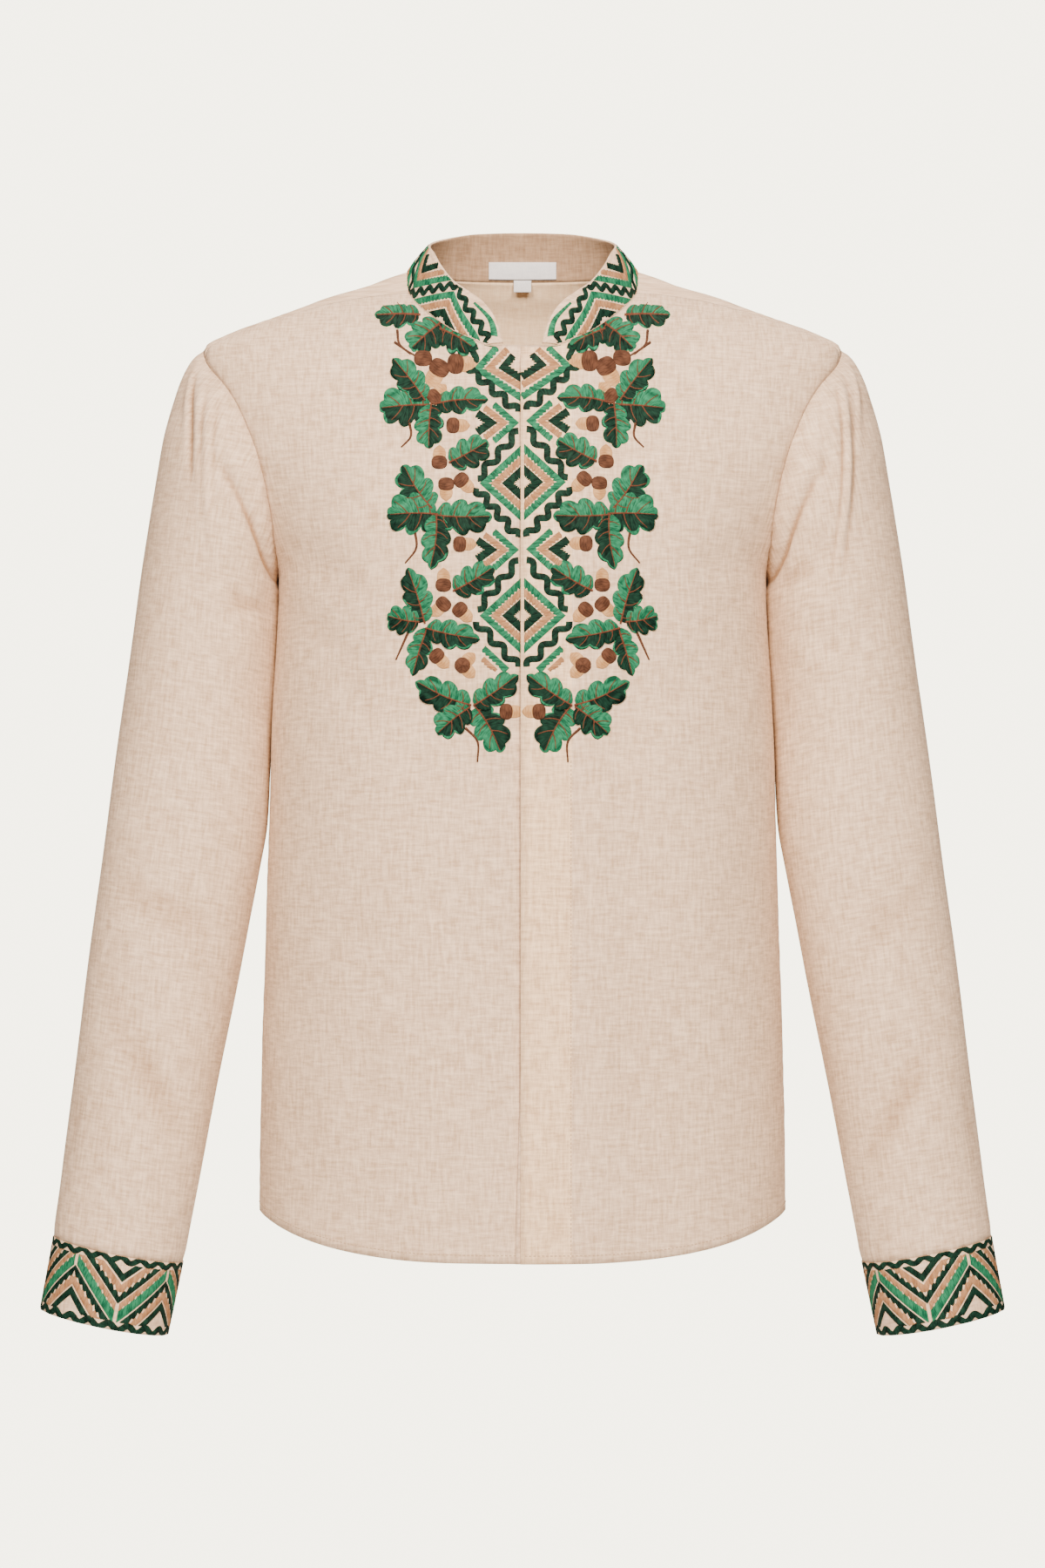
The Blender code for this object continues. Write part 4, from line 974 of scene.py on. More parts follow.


# Painted shade makes the creases darker and warmer; where a band edge is given, the cloth between the fold
# and it is lighter
def makeLinen(name, dark, light, weave, tinted, bump=linenLook["bump"], bandEdge=None):
    material, colour = patternedMaterial(name, weave, "Tone", dark, light, bump)
    nodes, links, shader = shaderNodes(material)

    def tint(colour, share, by):  # the colour times another one, by a share
        layer = nodes.new("ShaderNodeGroup")
        layer.node_tree = tinted
        layer.inputs["By"].default_value = (*by, 1.0)
        links.new(colour, layer.inputs["Colour"])
        links.new(share, layer.inputs["Share"])
        return layer.outputs["Colour"]

    # painted shade: the crease attribute darkens the colour towards the crease tint
    creaseShade = nodes.new("ShaderNodeAttribute")
    creaseShade.attribute_name = "creaseShade"
    colour = tint(colour, creaseShade.outputs["Fac"], linenLook["creaseShadeTint"])
    if bandEdge:
        place = nodes.new("ShaderNodeTexCoord")
        axes = nodes.new("ShaderNodeSeparateXYZ")
        links.new(place.outputs["Object"], axes.inputs[0])
        inBand = nodes.new("ShaderNodeMapRange")
        inBand.inputs["From Min"].default_value = bandEdge
        inBand.inputs["From Max"].default_value = bandEdge - linenLook["bandFade"]
        links.new(axes.outputs["X"], inBand.inputs["Value"])
        colour = tint(colour, inBand.outputs["Result"], linenLook["bandTint"])
    links.new(colour, shader.inputs["Base Color"])
    shader.inputs["Roughness"].default_value = linenLook["roughness"]
    shader.inputs["Specular IOR Level"].default_value = linenLook["specular"]
    shader.inputs["Sheen Weight"].default_value = linenLook["sheen"]
    shader.inputs["Sheen Roughness"].default_value = linenLook["sheenRoughness"]
    return material


def makeThread(name, dark, light, strands):  # a thread's own colours on the strands, smoother than linen
    material, colour = patternedMaterial(name, strands, "Shade", dark, light, threadLook["bump"])
    links, shader = shaderNodes(material)[1:]
    links.new(colour, shader.inputs["Base Color"])
    shader.inputs["Roughness"].default_value = threadLook["roughness"]
    shader.inputs["Specular IOR Level"].default_value = threadLook["specular"]
    return material


# Linear colours: a darker and a lighter shade of each finish
colours = {
    "linen": ((0.540, 0.390, 0.270), (0.860, 0.690, 0.530)),
    # inside: the linen lightened and more saturated, painted light on the back's inner side
    "inside": ((0.800, 0.600, 0.390), (0.980, 0.800, 0.580)),
    # facing: the collar's inner side darkened, painted shade
    "facing": ((0.275, 0.180, 0.112), (0.430, 0.305, 0.205)),
    "seam": ((0.420, 0.300, 0.200), (0.620, 0.460, 0.330)),
    "darkGreen": ((0.001, 0.007, 0.005), (0.009, 0.040, 0.027)),
    "brightGreen": ((0.003, 0.058, 0.030), (0.028, 0.225, 0.120)),
    "tan": ((0.240, 0.120, 0.060), (0.430, 0.245, 0.135)),
    "acorn": ((0.340, 0.175, 0.070), (0.540, 0.330, 0.165)),
    "brown": ((0.042, 0.018, 0.011), (0.110, 0.050, 0.031)),
    "vein": ((0.075, 0.026, 0.016), (0.155, 0.058, 0.036)),
    "label": ((0.70, 0.76, 0.86), (0.80, 0.86, 0.95)),
}
weaveGroup = makeWeaveGroup()
threadGroup = makeThreadGroup()
tintGroup = makeTintGroup()
linen = makeLinen("linen", *colours["linen"], weaveGroup, tintGroup)
placketEdge = placket["stitchX"]
linenPlacket = makeLinen("linenPlacket", *colours["linen"], weaveGroup, tintGroup, bandEdge=placketEdge)
# the back's inner side: the linen with painted light
linenInsidePaintedLight = makeLinen("linenInsidePaintedLight", *colours["inside"], weaveGroup, tintGroup)
# the collar's inner side: the linen darkened as painted shade
collarInsidePaintedShade = makeLinen("collarInsidePaintedShade", *colours["facing"], weaveGroup, tintGroup)
labelTape = makeLinen("labelTape", *colours["label"], weaveGroup, tintGroup, linenLook["tapeBump"])
seamThread = makeThread("seamThread", *colours["seam"], threadGroup)
threadNames = ("darkGreen", "brightGreen", "tan", "acorn", "brown", "vein")
threads = {name: makeThread(name, *colours[name], threadGroup) for name in threadNames}
print("materials made")


# Cloth


# Where the weave starts on each piece, across and up, so that no two pieces show the same threads
weaveStart = {
    "frontRight": (2.0, 1.0),
    "collar": (2.2, 0.7),
    "placket": (3.0, 0.3),
    "back": (5.0, 2.0),
    "sleeve": (8.0, 0.2),
}


# A sheet of cloth from grids, with its thickness; it stands in for the CAD node
def clothPiece(name, node, grids, thickness, materials=None, creasesAndShades=None):
    piece = meshFromGrids(name, grids, materials or [linen], creasesAndShades=creasesAndShades)
    thicken(piece, thickness)
    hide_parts(node)
    return piece


# Each front is the form's half moved out by its lift. The left one is also raised by the placket's two
# layers, and its edge is the placket's straight fold.
def makeFronts():
    cloth = form["clothThickness"]
    left, right = halfBody(1, 1), halfBody(1, -1)
    base = left["points"]
    raised = placketLift(base[..., 0], base[..., 2])
    left["lift"] = left["lift"] + 2.0 * placket["layer"] * raised
    grid = liftedGrid(left)
    grid[: left["neckRow"], 0, 0] = placket["foldX"]
    grids = [(grid, left["uv"], left["normals"])]
    creasesAndShades = [left["creaseShade"]]
    piece = clothPiece("frontLeft", "front_left", grids, cloth, materials=[linenPlacket], creasesAndShades=creasesAndShades)
    uv = right["uv"] + weaveStart["frontRight"]
    grids = [(mirrored(liftedGrid(right)), uv, mirrored(right["normals"]))]
    piece = clothPiece("frontRight", "front_right", grids, cloth, creasesAndShades=[right["creaseShade"]])
    return {1: left, -1: right}


def makeBack():  # both halves of the form's back, moved out by their lift and welded at the centre
    left, right = halfBody(-1, 1), halfBody(-1, -1)
    start = weaveStart["back"]
    grids = [
        (liftedGrid(left), left["uv"] + start, left["normals"]),
        (mirrored(liftedGrid(right)), right["uv"] * (-1.0, 1.0) + start, mirrored(right["normals"])),
    ]
    cloth, creasesAndShades = form["clothThickness"], [left["creaseShade"], right["creaseShade"]]
    # its inner side takes the inside finish, painted light
    piece = clothPiece("backPanel", "back", grids, cloth, materials=[linen, linenInsidePaintedLight], creasesAndShades=creasesAndShades)
    return {1: left, -1: right}


def closedRound(grid):  # the grid with its first column again at the end, so that it goes all the way round
    return np.concatenate([grid, grid[:, :1]], axis=1)


def makeSleeves(front, back):  # rings moved out by their lift; the last rows are the cuff's
    made = {}
    for side, half in (("Left", 1), ("Right", -1)):
        sleeve = sleeveGrid(front, back, half)
        flip = mirrored if half < 0 else (lambda points: points)
        grid, normals = closedRound(liftedGrid(sleeve)), closedRound(sleeve["normals"])
        turn = np.append(sleeve["turn"], 1.0)
        across, up = weaveStart["sleeve"]
        uv = sleeveUv(closedRound(sleeve["points"]), turn, sleeve["topTurn"]) + (across + half, up)
        row = sleeve["cuffRow"]
        arm = [(flip(grid[: row + 1]), uv[: row + 1], flip(normals[: row + 1]))]
        creasesAndShades = [closedRound(sleeve["creaseShade"])[: row + 1]]
        thickness = form["clothThickness"]
        piece = clothPiece("sleeve" + side, "sleeve_" + side.lower(), arm, thickness, creasesAndShades=creasesAndShades)
        cuff = [(flip(grid[row:]), uv[row:], flip(normals[row:]))]
        thickness = form["embroideredThickness"]
        piece = clothPiece("cuff" + side, "cuff_" + side.lower(), cuff, thickness)
        made[half] = {**sleeve, "grid": grid, "cuffNormals": normals}
    return made


def makeCollar():  # both halves of the collar, welded at the centre back
    surface = collarGrid()
    grid, normals = surface["points"], surface["normals"]
    start = weaveStart["collar"]
    uv = gridUv(grid, start)
    other = np.stack([2.0 * start[0] - uv[..., 0], uv[..., 1]], axis=-1)
    grids = [(grid, uv, normals), (mirrored(grid), other, mirrored(normals))]
    # the collar's inner side takes the darker finish, painted shade
    materials = [linen, collarInsidePaintedShade]
    piece = clothPiece("standCollar", "collar", grids, form["embroideredThickness"], materials)
    return surface


def frontForm(x, z):  # the form's front at x (from the centre out) and z, solved from the superellipse
    power = sectionValue(4, z)
    share = np.clip(x / sectionValue(1, z), -0.9999, 0.9999)
    y = -sectionValue(2, z) * (1.0 - np.abs(share) ** power) ** (1.0 / power)
    return np.stack([x + 0.0 * y, y, z + 0.0 * y], axis=-1)


# A point on the hung front over a number of the placket's layers, and out from it by extra. The form's normal
# is the cross product of two short steps on it.
def frontPoint(x, z, half, layers, extra=0.0):
    step = 0.0004
    ahead = frontForm(x + step, z) - frontForm(x - step, z)
    up = frontForm(x, z + step) - frontForm(x, z - step)
    normal = unit(np.cross(ahead, up))
    lift = bodyLift(x, z, 1, half) + layers * placket["layer"] * placketLift(x, z) + extra
    points = frontForm(x, z) + normal * lift[..., None]
    return points if half > 0 else mirrored(points)


# A layer of the placket behind the left front: level lines across it, from where it starts to its inner edge
def makeStrip(name, node, startLine, layers):
    z = np.linspace(form["hemCentreZ"], form["frontNeckZ"], 150)[:, None]
    start = startLine(z)
    x = start + (placket["underlayX"] - start) * np.linspace(0.0, 1.0, 14)[None, :]
    z = z + 0.0 * x
    grid = frontPoint(x, z, 1, layers)
    outward = np.zeros(grid.shape)
    outward[..., 1] = -1.0
    across, up = weaveStart["placket"]
    uv = gridUv(grid, (across + layers, up))
    piece = clothPiece(name, node, [(grid, uv, outward)], form["clothThickness"])


def bandStart(z):  # the button band starts a little beside the centre line
    return placket["bandX"] + 0.0 * z


def underlayStart(z):  # the second layer starts at the fold and peeks out past it, more towards the hem
    top, bottom = placket["peekTopZ"], form["hemCentreZ"]
    return placket["foldX"] - placket["peek"] * smoothStep((top - z) / (top - bottom))


frontSurface = makeFronts()
backSurface = makeBack()
print("body made")
sleeves = makeSleeves(frontSurface[1], backSurface[1])
print("sleeves and cuffs made")
collar = makeCollar()
makeStrip("buttonBand", "button_band", bandStart, 0.0)
makeStrip("placketUnderlay", "placket_underlay", underlayStart, 1.0)
print("collar and placket made")


# Embroidery. A patch is a grid over a flat pattern in millimetres, with a height over the cloth, thread
# coordinates in metres and a thread's name. A panel's lay function puts its patches on the cloth.

# Satin stitch: places across a band from -1 to 1 and the heights there, the band's height, how far the
# stitches lean along it, and the steps along plain and along toothed or curved bands
satin = {
    "across": (-1.0, -0.72, 0.0, 0.72, 1.0),
    "profile": (-0.25, 0.80, 1.0, 0.80, -0.25),
    "height": 0.50,
    "slant": 0.35,
    "step": 2.0,
    "fineStep": 0.9,
}
satinPlaces = np.array(satin["across"])
satinShares = (satinPlaces + 1.0) / 2.0  # the same places from 0 at one edge to 1 at the other


def patch(plane, height, thread, uv):  # a patch, its thread coordinates turned from millimetres into metres
    return {"plane": plane, "height": height, "thread": thread, "uv": uv * 0.001}


def satinRise(profile, across, height=1.0):  # the profile's height at every point of the grid
    return satin["height"] * height * np.array(profile)[None, :] + 0.0 * across


def teethAlong(along, step, depth):  # rounded teeth: deepest between them, at each whole step
    return depth * (1.0 - np.abs(np.sin(np.pi * along / step)) ** 0.8)


# A flat band of satin stitch to the left of the path's corners, mitred, toothed along one edge (1 the path's
# own, -1 the other); upright ends are cut at the centre line.
def bandPatches(path, width, thread, teeth=0, step=4.2, depth=1.6, uprightEnds=False):
    path = np.asarray(path, float)
    left = leftOf(unit(np.diff(path, axis=0)))
    corners = [left[0]] + [(a + b) / (1.0 + a @ b) for a, b in zip(left[:-1], left[1:])] + [left[-1]]
    if uprightEnds:
        corners[0] = np.array([0.0, 1.0 / left[0][1]])
        corners[-1] = np.array([0.0, 1.0 / left[-1][1]])
    made, run = [], 0.0
    for n in range(len(path) - 1):
        length = np.linalg.norm(path[n + 1] - path[n])
        count = max(int(length / (satin["fineStep"] if teeth else satin["step"])), 2)
        s = np.linspace(0.0, 1.0, count + 1)[:, None]
        tooth = teethAlong(run + s * length, step, depth)
        low = tooth if teeth > 0 else 0.0 * s
        high = width - (tooth if teeth < 0 else 0.0)
        across = low + (high - low) * satinShares[None, :]
        near = path[n] + s[..., None] * (path[n + 1] - path[n])
        corner = corners[n] + s[..., None] * (corners[n + 1] - corners[n])
        plane = near + across[..., None] * corner
        along = run + s * length + satin["slant"] * across
        rise = satinRise(satin["profile"], across)
        made.append(patch(plane, rise, thread, np.stack([along, across], axis=-1)))
        run += length
    return made


# A rounded cord of stitches along points: a sine across it where a wave is given, thinner towards its end
def linePatch(points, width, thread, height=1.0, wave=0.0, period=7.7, endWidth=None, sharp=False):
    points = np.asarray(points, float)
    if sharp:
        fine = points
    else:
        fine = pathThrough(points, np.linspace(0, len(points) - 1, 12 * len(points)))
    run = runAlong(fine)
    s = np.linspace(0.0, run[-1], max(int(run[-1] / satin["fineStep"]), 3) + 1)
    centre = np.stack([np.interp(s, run, fine[:, k]) for k in (0, 1)], axis=1)
    side = leftOf(unit(np.gradient(centre, axis=0)))
    if wave:
        beats = max(round(run[-1] / period), 1)
        swing = np.sin(2.0 * np.pi * beats * s / run[-1])
        centre = centre + (wave * swing)[:, None] * side
        side = leftOf(unit(np.gradient(centre, axis=0)))
    half = np.linspace(width, width if endWidth is None else endWidth, len(s))[:, None] / 2.0
    across = half * satinPlaces[None, :]
    plane = centre[:, None] + across[..., None] * side[:, None]
    rise = satinRise(satin["profile"], across, height)
    along = s[:, None] + satin["slant"] * across
    return patch(plane, rise, thread, np.stack([along, across], axis=-1))


# An oak leaf: from the midrib, threads sweep forward to a lobed edge, steep at the base and straight on at
# the tip. Their length is a swelling times rounded lobes. Each half has its own thread, with a lighter edge
# in places on the darker half, and veins laid on top.
leafLook = {
    "lobes": 3.5,
    "notch": 0.36,
    "swell": ((0.0, 0.10, 0.3, 0.5, 0.75, 0.9, 1.0), (0.42, 0.72, 0.95, 1.08, 1.10, 0.95, 0.80)),
    "lean": (88.0, 26.0, 62.0),
    "rib": 0.84,
    "bend": 0.035,
    "layer": 0.22,
    "rows": 60,
    "across": (0.0, 0.2, 0.5, 0.8, 0.94, 1.0),
    "profile": (0.55, 0.95, 1.10, 0.95, 0.60, -0.25),
    "litAcross": (0.80, 0.86, 0.93, 1.0),
    "litProfile": (0.9, 1.15, 0.85, -0.25),
    "ribPlaces": (-0.04, 0.3, 0.65, 1.0, 1.12),
    "ribWidth": 1.7,
    "ribEnd": 0.7,
    "veinPlaces": (0.12, 0.27),  # the first one's share of the rib, and the step to the next
    "veinWidth": 1.25,
    "veinEnd": 0.6,
    "veinHeight": 1.9,
}


def leafPatches(baseX, baseZ, tipX, tipZ, half, light, number):  # both halves, then the rib and its veins
    base, tip = np.array([baseX, baseZ], float), np.array([tipX, tipZ], float)
    length = np.linalg.norm(tip - base)
    ahead = (tip - base) / length
    side = leftOf(ahead)
    bend = leafLook["bend"] * length * np.sin(2.1 * number + 0.5)
    layer = leafLook["layer"] * (number % 4)

    def rib(s):  # the midrib, bent aside by a half sine
        s = np.asarray(s, float)[..., None]
        return base + leafLook["rib"] * length * s * ahead + bend * np.sin(np.pi * s) * side

    def reach(s, hand):  # a thread's length, direction and lean at s, on the left hand (1) or the right
        s = np.asarray(s, float)
        swell = np.interp(s, *leafLook["swell"])
        warp = s ** (1.0 + 0.12 * hand * np.sin(1.3 * number))
        lobe = np.abs(np.sin(np.pi * leafLook["lobes"] * warp)) ** 0.6
        size = half * swell * (1.0 - leafLook["notch"] * (1.0 - lobe))
        start, slope, close = leafLook["lean"]
        lean = np.radians(start - slope * s - close * s**4)
        out = 1.12 * size * (1.0 - s**6) + (1.0 - leafLook["rib"]) * length * s**6
        way = np.cos(lean)[..., None] * ahead + (hand * np.sin(lean))[..., None] * side
        return out, way, lean

    made = []
    s = np.linspace(0.0, 1.0, leafLook["rows"] + 1)
    t = np.array(leafLook["across"])[None, :]
    for hand in (1, -1):
        out, way, lean = reach(s, hand)
        plane = rib(s)[:, None] + (t * out[:, None])[..., None] * way[:, None]
        rise = satinRise(leafLook["profile"], t * out[:, None]) + layer * (t < 1.0)
        along = s[:, None] * length * np.sin(lean)[:, None]
        uv = np.stack([along + 0.0 * t, t * out[:, None]], axis=-1)
        thread = "brightGreen" if hand == light else "darkGreen"
        made.append(patch(plane, rise, thread, uv))
        if hand != light:
            lit = np.array(leafLook["litAcross"])[None, :]
            patchy = smoothStep(2.2 * np.sin(7.0 * s + 1.9 * number)[:, None])
            inner = lit + (1.0 - lit) * (1.0 - patchy)
            across = inner * out[:, None]
            edge = rib(s)[:, None] + across[..., None] * way[:, None]
            rise = satinRise(leafLook["litProfile"], across) + layer * (lit < 1.0)
            uv = np.stack([along + 0.0 * lit, across], axis=-1)
            made.append(patch(edge, rise, "brightGreen", uv))
    lift = leafLook["veinHeight"] + layer / satin["height"]
    midrib = rib(leafLook["ribPlaces"])
    made.append(linePatch(midrib, leafLook["ribWidth"], "vein", lift, endWidth=leafLook["ribEnd"]))
    first, step = leafLook["veinPlaces"]
    for hand in (1, -1):
        for lobe in (0, 1, 2):
            place = first + step * lobe + 0.03 * hand
            out, way, lean = reach(place + 0.07, hand)
            start = rib(place)
            end = start + 0.80 * out * way + 0.05 * length * ahead
            vein = np.stack([start, start + 0.42 * out * way, end])
            made.append(linePatch(vein, leafLook["veinWidth"], "vein", lift, endWidth=leafLook["veinEnd"]))
    return made


# Acorn: a nut that narrows to its point, half under a broad cup. Length, width and squareness of each, how
# far out the nut lies, and the places from the middle to the edge with the dome's heights there.
acornLook = {
    "cup": (5.0, 5.9, 2.6),
    "cupHeight": 0.75,
    "cupLift": 0.45,
    "nut": (6.0, 4.9, 2.2),
    "nutHeight": 0.62,
    "nutLift": 0.05,
    "nutPoint": 0.18,
    "out": 5.8,
    "across": (0.03, 0.35, 0.65, 0.86, 0.96, 1.0),
    "dome": (1.0, 0.97, 0.86, 0.66, 0.40, -0.25),
}


# A domed patch of satin: rings of a superellipse, drawn out to a point ahead where one is given
def discPatch(centre, direction, long, wide, power, height, thread, lift, point=0.0):
    turn = np.linspace(0.0, 2 * np.pi, 29)[None, :]
    radius = np.array(acornLook["across"])[:, None]
    dome = np.array(acornLook["dome"])[:, None] * height
    size = (np.abs(np.cos(turn)) ** power + np.abs(np.sin(turn)) ** power) ** (-1.0 / power)
    size = size + point * bell(np.angle(np.exp(1j * turn)), 0.25)
    a, b = radius * size * np.cos(turn) * long, radius * size * np.sin(turn) * wide
    ahead = np.array([np.cos(direction), np.sin(direction)])
    plane = np.asarray(centre, float) + a[..., None] * ahead + b[..., None] * leftOf(ahead)
    rise = dome + lift * (radius < 1.0) + 0.0 * turn
    return patch(plane, rise, thread, np.stack([a, b], axis=-1))


def acornPatches(x, z, degrees, size=1.0):  # two domes along one direction, the cup over the nut
    turn = np.radians(degrees)
    middle = np.array([x, z]) + size * acornLook["out"] * np.array([np.cos(turn), np.sin(turn)])
    long, wide, power = acornLook["nut"]
    high, lift, point = acornLook["nutHeight"], acornLook["nutLift"], acornLook["nutPoint"]
    nut = discPatch(middle, turn, size * long, size * wide, power, high, "acorn", lift, point)
    long, wide, power = acornLook["cup"]
    high, lift = acornLook["cupHeight"], acornLook["cupLift"]
    cup = discPatch((x, z), turn, size * long, size * wide, power, high, "brown", lift)
    return [nut, cup]


# Leaves on one half (base x and z, tip x and z, half width, side of the lighter half), in millimetres
leaves = [
    (76, -27, 109, -27, 9.5, 1),
    (60, -33, 82, -52, 12.0, 1),
    (60, -38, 36, -51, 12.0, -1),
    (72, -89, 95, -59, 10.0, 1),
    (68, -93, 105, -95, 14.0, 1),
    (63, -92, 25, -89, 9.5, -1),
    (67, -93, 69, -125, 10.0, 1),
    (53, -135, 25, -120, 11.0, -1),
    (67, -168, 88, -137, 12.0, 1),
    (63, -173, 99, -173, 14.6, 1),
    (63, -174, 22, -175, 12.0, -1),
    (63, -174, 67, -214, 10.0, 1),
    (50, -229, 21, -212, 11.0, -1),
    (72, -252, 84, -212, 10.0, 1),
    (76, -252, 99, -248, 10.0, 1),
    (70, -257, 31, -265, 10.0, -1),
    (70, -257, 81, -292, 8.6, 1),
    (39, -313, 79, -296, 11.0, 1),
    (39, -315, 63, -334, 11.0, 1),
    (35, -313, 3, -291, 10.0, -1),
    (34, -315, 15, -348, 12.0, 1),
]

# Acorns on one half (cup x and z, direction of the nut in degrees, and size where it isn't 1)
acorns = [
    (73, -59, 90, 1.15),
    (61, -66, -60, 1.3),
    (49, -63, 180, 1.25),
    (65, -87, 135),
    (51, -108, 180),
    (61, -135, 90),
    (56, -151, -90),
    (45, -148, -135),
    (46, -195, 180),
    (58, -225, 90),
    (58, -239, -45),
    (46, -243, -135),
    (63, -277, -135),
    (44, -284, 135),
    (44, -284, -135),
    (12, -318, 180),
]

# Bare twigs on one half, base to tip
twigs = [
    [(92, -38), (90, -49), (79, -57)],
    [(94, -47), (87, -52), (82, -56)],
    [(83, -106), (82, -116), (89, -124)],
    [(79, -185), (78, -198), (86, -209)],
    [(84, -260), (88, -269), (93, -280)],
    [(42, -330), (33, -340), (33, -355)],
]

# Centre column: middles of the diamonds and of the chevrons, and their bands from the outside in, as half
# width and half height of a diamond (near and far x and half height of a chevron), band width and thread
column = {
    "gap": 1.1,
    "diamonds": (-150.4, -247.6),
    "diamondBands": (
        (31.9, 29.2, 6.0, "brightGreen"),
        (23.6, 21.6, 5.7, "tan"),
        (15.6, 14.1, 7.2, "darkGreen"),
    ),
    "chevrons": (-106.0, -199.2),
    "chevronBands": (
        (2.2, 19.4, 15.4, 5.6, "brightGreen"),
        (10.0, 26.4, 13.0, 5.4, "tan"),
        (17.8, 31.4, 9.6, 7.0, "darkGreen"),
    ),
    "waveWidth": 5.3,
    "wave": 2.5,
    "wavePeriod": 13.5,
}
twigWidths = (2.2, 1.3)

# Waves beside the diamonds, then bands that end at the neckline and under the last diamond
columnWaves = [
    [(33, -50), (39, -66), (3, -98)],
    [(3, -112), (33, -147)],
    [(34, -154), (3, -190)],
    [(3, -207), (33, -243)],
    [(34, -252), (3, -285)],
]
columnBands = [
    ([(1.1, -91.0), (36.8, -67.0), (21.0, -49.0)], 6.0, "brightGreen", -1),
    ([(1.1, -82.4), (28.3, -66.5), (13.0, -50.5)], 5.7, "tan", -1),
    ([(1.1, -76.8), (18.2, -66.0), (9.0, -55.0)], 6.4, "darkGreen", -1),
    ([(27.0, -269.5), (9.3, -286.0), (13.0, -290.0)], 5.6, "brightGreen", -1),
    ([(28.0, -277.5), (18.0, -287.0), (20.0, -289.0)], 4.8, "tan", -1),
]


def chestPatches():  # the column's diamonds, chevrons, bands and waves, then twigs, leaves and acorns
    made = []
    wave, period = column["wave"], column["wavePeriod"]
    for middle in column["diamonds"]:
        for wide, high, width, thread in column["diamondBands"]:
            reach = high * (1.0 - column["gap"] / wide)
            path = [(column["gap"], middle - reach), (wide, middle), (column["gap"], middle + reach)]
            made += bandPatches(path, width, thread, teeth=-1, uprightEnds=True)
    for middle in column["chevrons"]:
        for near, far, high, width, thread in column["chevronBands"]:
            path = [(far, middle + high), (near, middle), (far, middle - high)]
            made += bandPatches(path, width, thread, teeth=-1)
    for path, width, thread, teeth in columnBands:
        made += bandPatches(path, width, thread, teeth)
    for path in columnWaves:
        made.append(linePatch(path, column["waveWidth"], "darkGreen", 1.0, wave, period, sharp=True))
    for path in twigs:
        made.append(linePatch(path, twigWidths[0], "brown", 1.1, endWidth=twigWidths[1]))
    for number, leaf in enumerate(leaves):
        made += leafPatches(*leaf, number)
    for acorn in acorns:
        made += acornPatches(*acorn)
    return made


neckEdge = neckSeam(np.linspace(form["neckSplit"], len(neck) - 1, 90))


def offNeck(x, z):  # points moved off the neck opening, onto the cloth beside and below it
    margin = 0.0012
    edge = np.interp(z, neckEdge[::-1, 2], neckEdge[::-1, 0]) + margin
    x = np.where(z > neckEdge[-1, 2] - margin, np.maximum(x, np.minimum(edge, neckEdge[0, 0] + margin)), x)
    share = np.clip(x / neckEdge[-1, 0], 0.0, 1.0)
    line = form["frontNeckZ"] + share * (neckEdge[-1, 2] - form["frontNeckZ"]) - margin
    return x, np.where(x < neckEdge[-1, 0], np.minimum(z, line), z)


# From the picture plane, in metres, on to the hung front: along the line of sight to the form, found in steps
def layOnFront(plane, height, half):
    distance, centre = view["distance"], view["centreZ"]
    y = np.full(len(plane), -sections[:, 2].max())
    for _ in range(steps["sight"]):
        near = (distance + y) / distance
        x, z = plane[:, 0] * near, centre + (plane[:, 1] - centre) * near
        y = frontForm(x, z)[:, 1]
    x, z = offNeck(x, z)
    layers = 2.0 if half > 0 else 0.0
    return frontPoint(x, z, half, layers, form["clothThickness"] / 2.0 + height)


def readGrid(grid, row, column):  # the grid between its points, weighed by the nearness of the four around
    row = np.clip(row, 0.0, grid.shape[0] - 1.001)
    column = np.clip(column, 0.0, grid.shape[1] - 1.001)
    i, j = np.floor(row).astype(int), np.floor(column).astype(int)
    u, v = (row - i)[:, None], (column - j)[:, None]
    upper = (1 - v) * grid[i, j] + v * grid[i, j + 1]
    lower = (1 - v) * grid[i + 1, j] + v * grid[i + 1, j + 1]
    return (1 - u) * upper + u * lower


# One mesh from the patches, laid on the cloth; outward is away from the same point a centimetre further in
def layPatches(name, patches, lay):
    plane = np.concatenate([p["plane"].reshape(-1, 2) for p in patches]) * 0.001
    height = np.concatenate([p["height"].ravel() for p in patches]) * 0.001
    points = lay(plane, height)
    flat = lay(plane, 0.0 * height - 0.01)
    grids, picks, start = [], [], 0
    names = list(threads)
    for p in patches:
        size, shape = p["height"].size, p["height"].shape
        own = points[start : start + size].reshape(*shape, 3)
        outward = own - flat[start : start + size].reshape(*shape, 3)
        grids.append((own, p["uv"], outward))
        picks.append(names.index(p["thread"]))
        start += size
    piece = meshFromGrids(name, grids, list(threads.values()), picks)
    return piece


def makeChestEmbroidery():  # the same pattern on both halves
    patches = chestPatches()
    for half, name in ((1, "chestEmbroideryLeft"), (-1, "chestEmbroideryRight")):
        layPatches(name, patches, lambda plane, height: layOnFront(plane, height, half))


# Collar pattern from the centre back: a wave between the seam and the top edge, and nested bands in each
# triangle. (run at the wave's turn, 1 at the top edge or 0 at the seam)
collarTurns = ((0.0, 0), (33.0, 1), (66.0, 0), (99.0, 1), (133.0, 0), (181.0, 1), (236.0, 0))
collarLook = {
    "inset": 0.9,
    "bands": ((0.17, 6.2, "brightGreen"), (0.42, 5.9, "tan"), (0.66, 6.6, "darkGreen")),
    "toothStep": 3.9,
    "toothDepth": 1.3,
    "waveWidth": 5.0,
    "wave": 2.1,
    "wavePeriod": 12.5,
    "frontBand": ((232, 9.5), (221, 19), (204, 26)),
    "frontWidths": (4.8, 2.0),
}


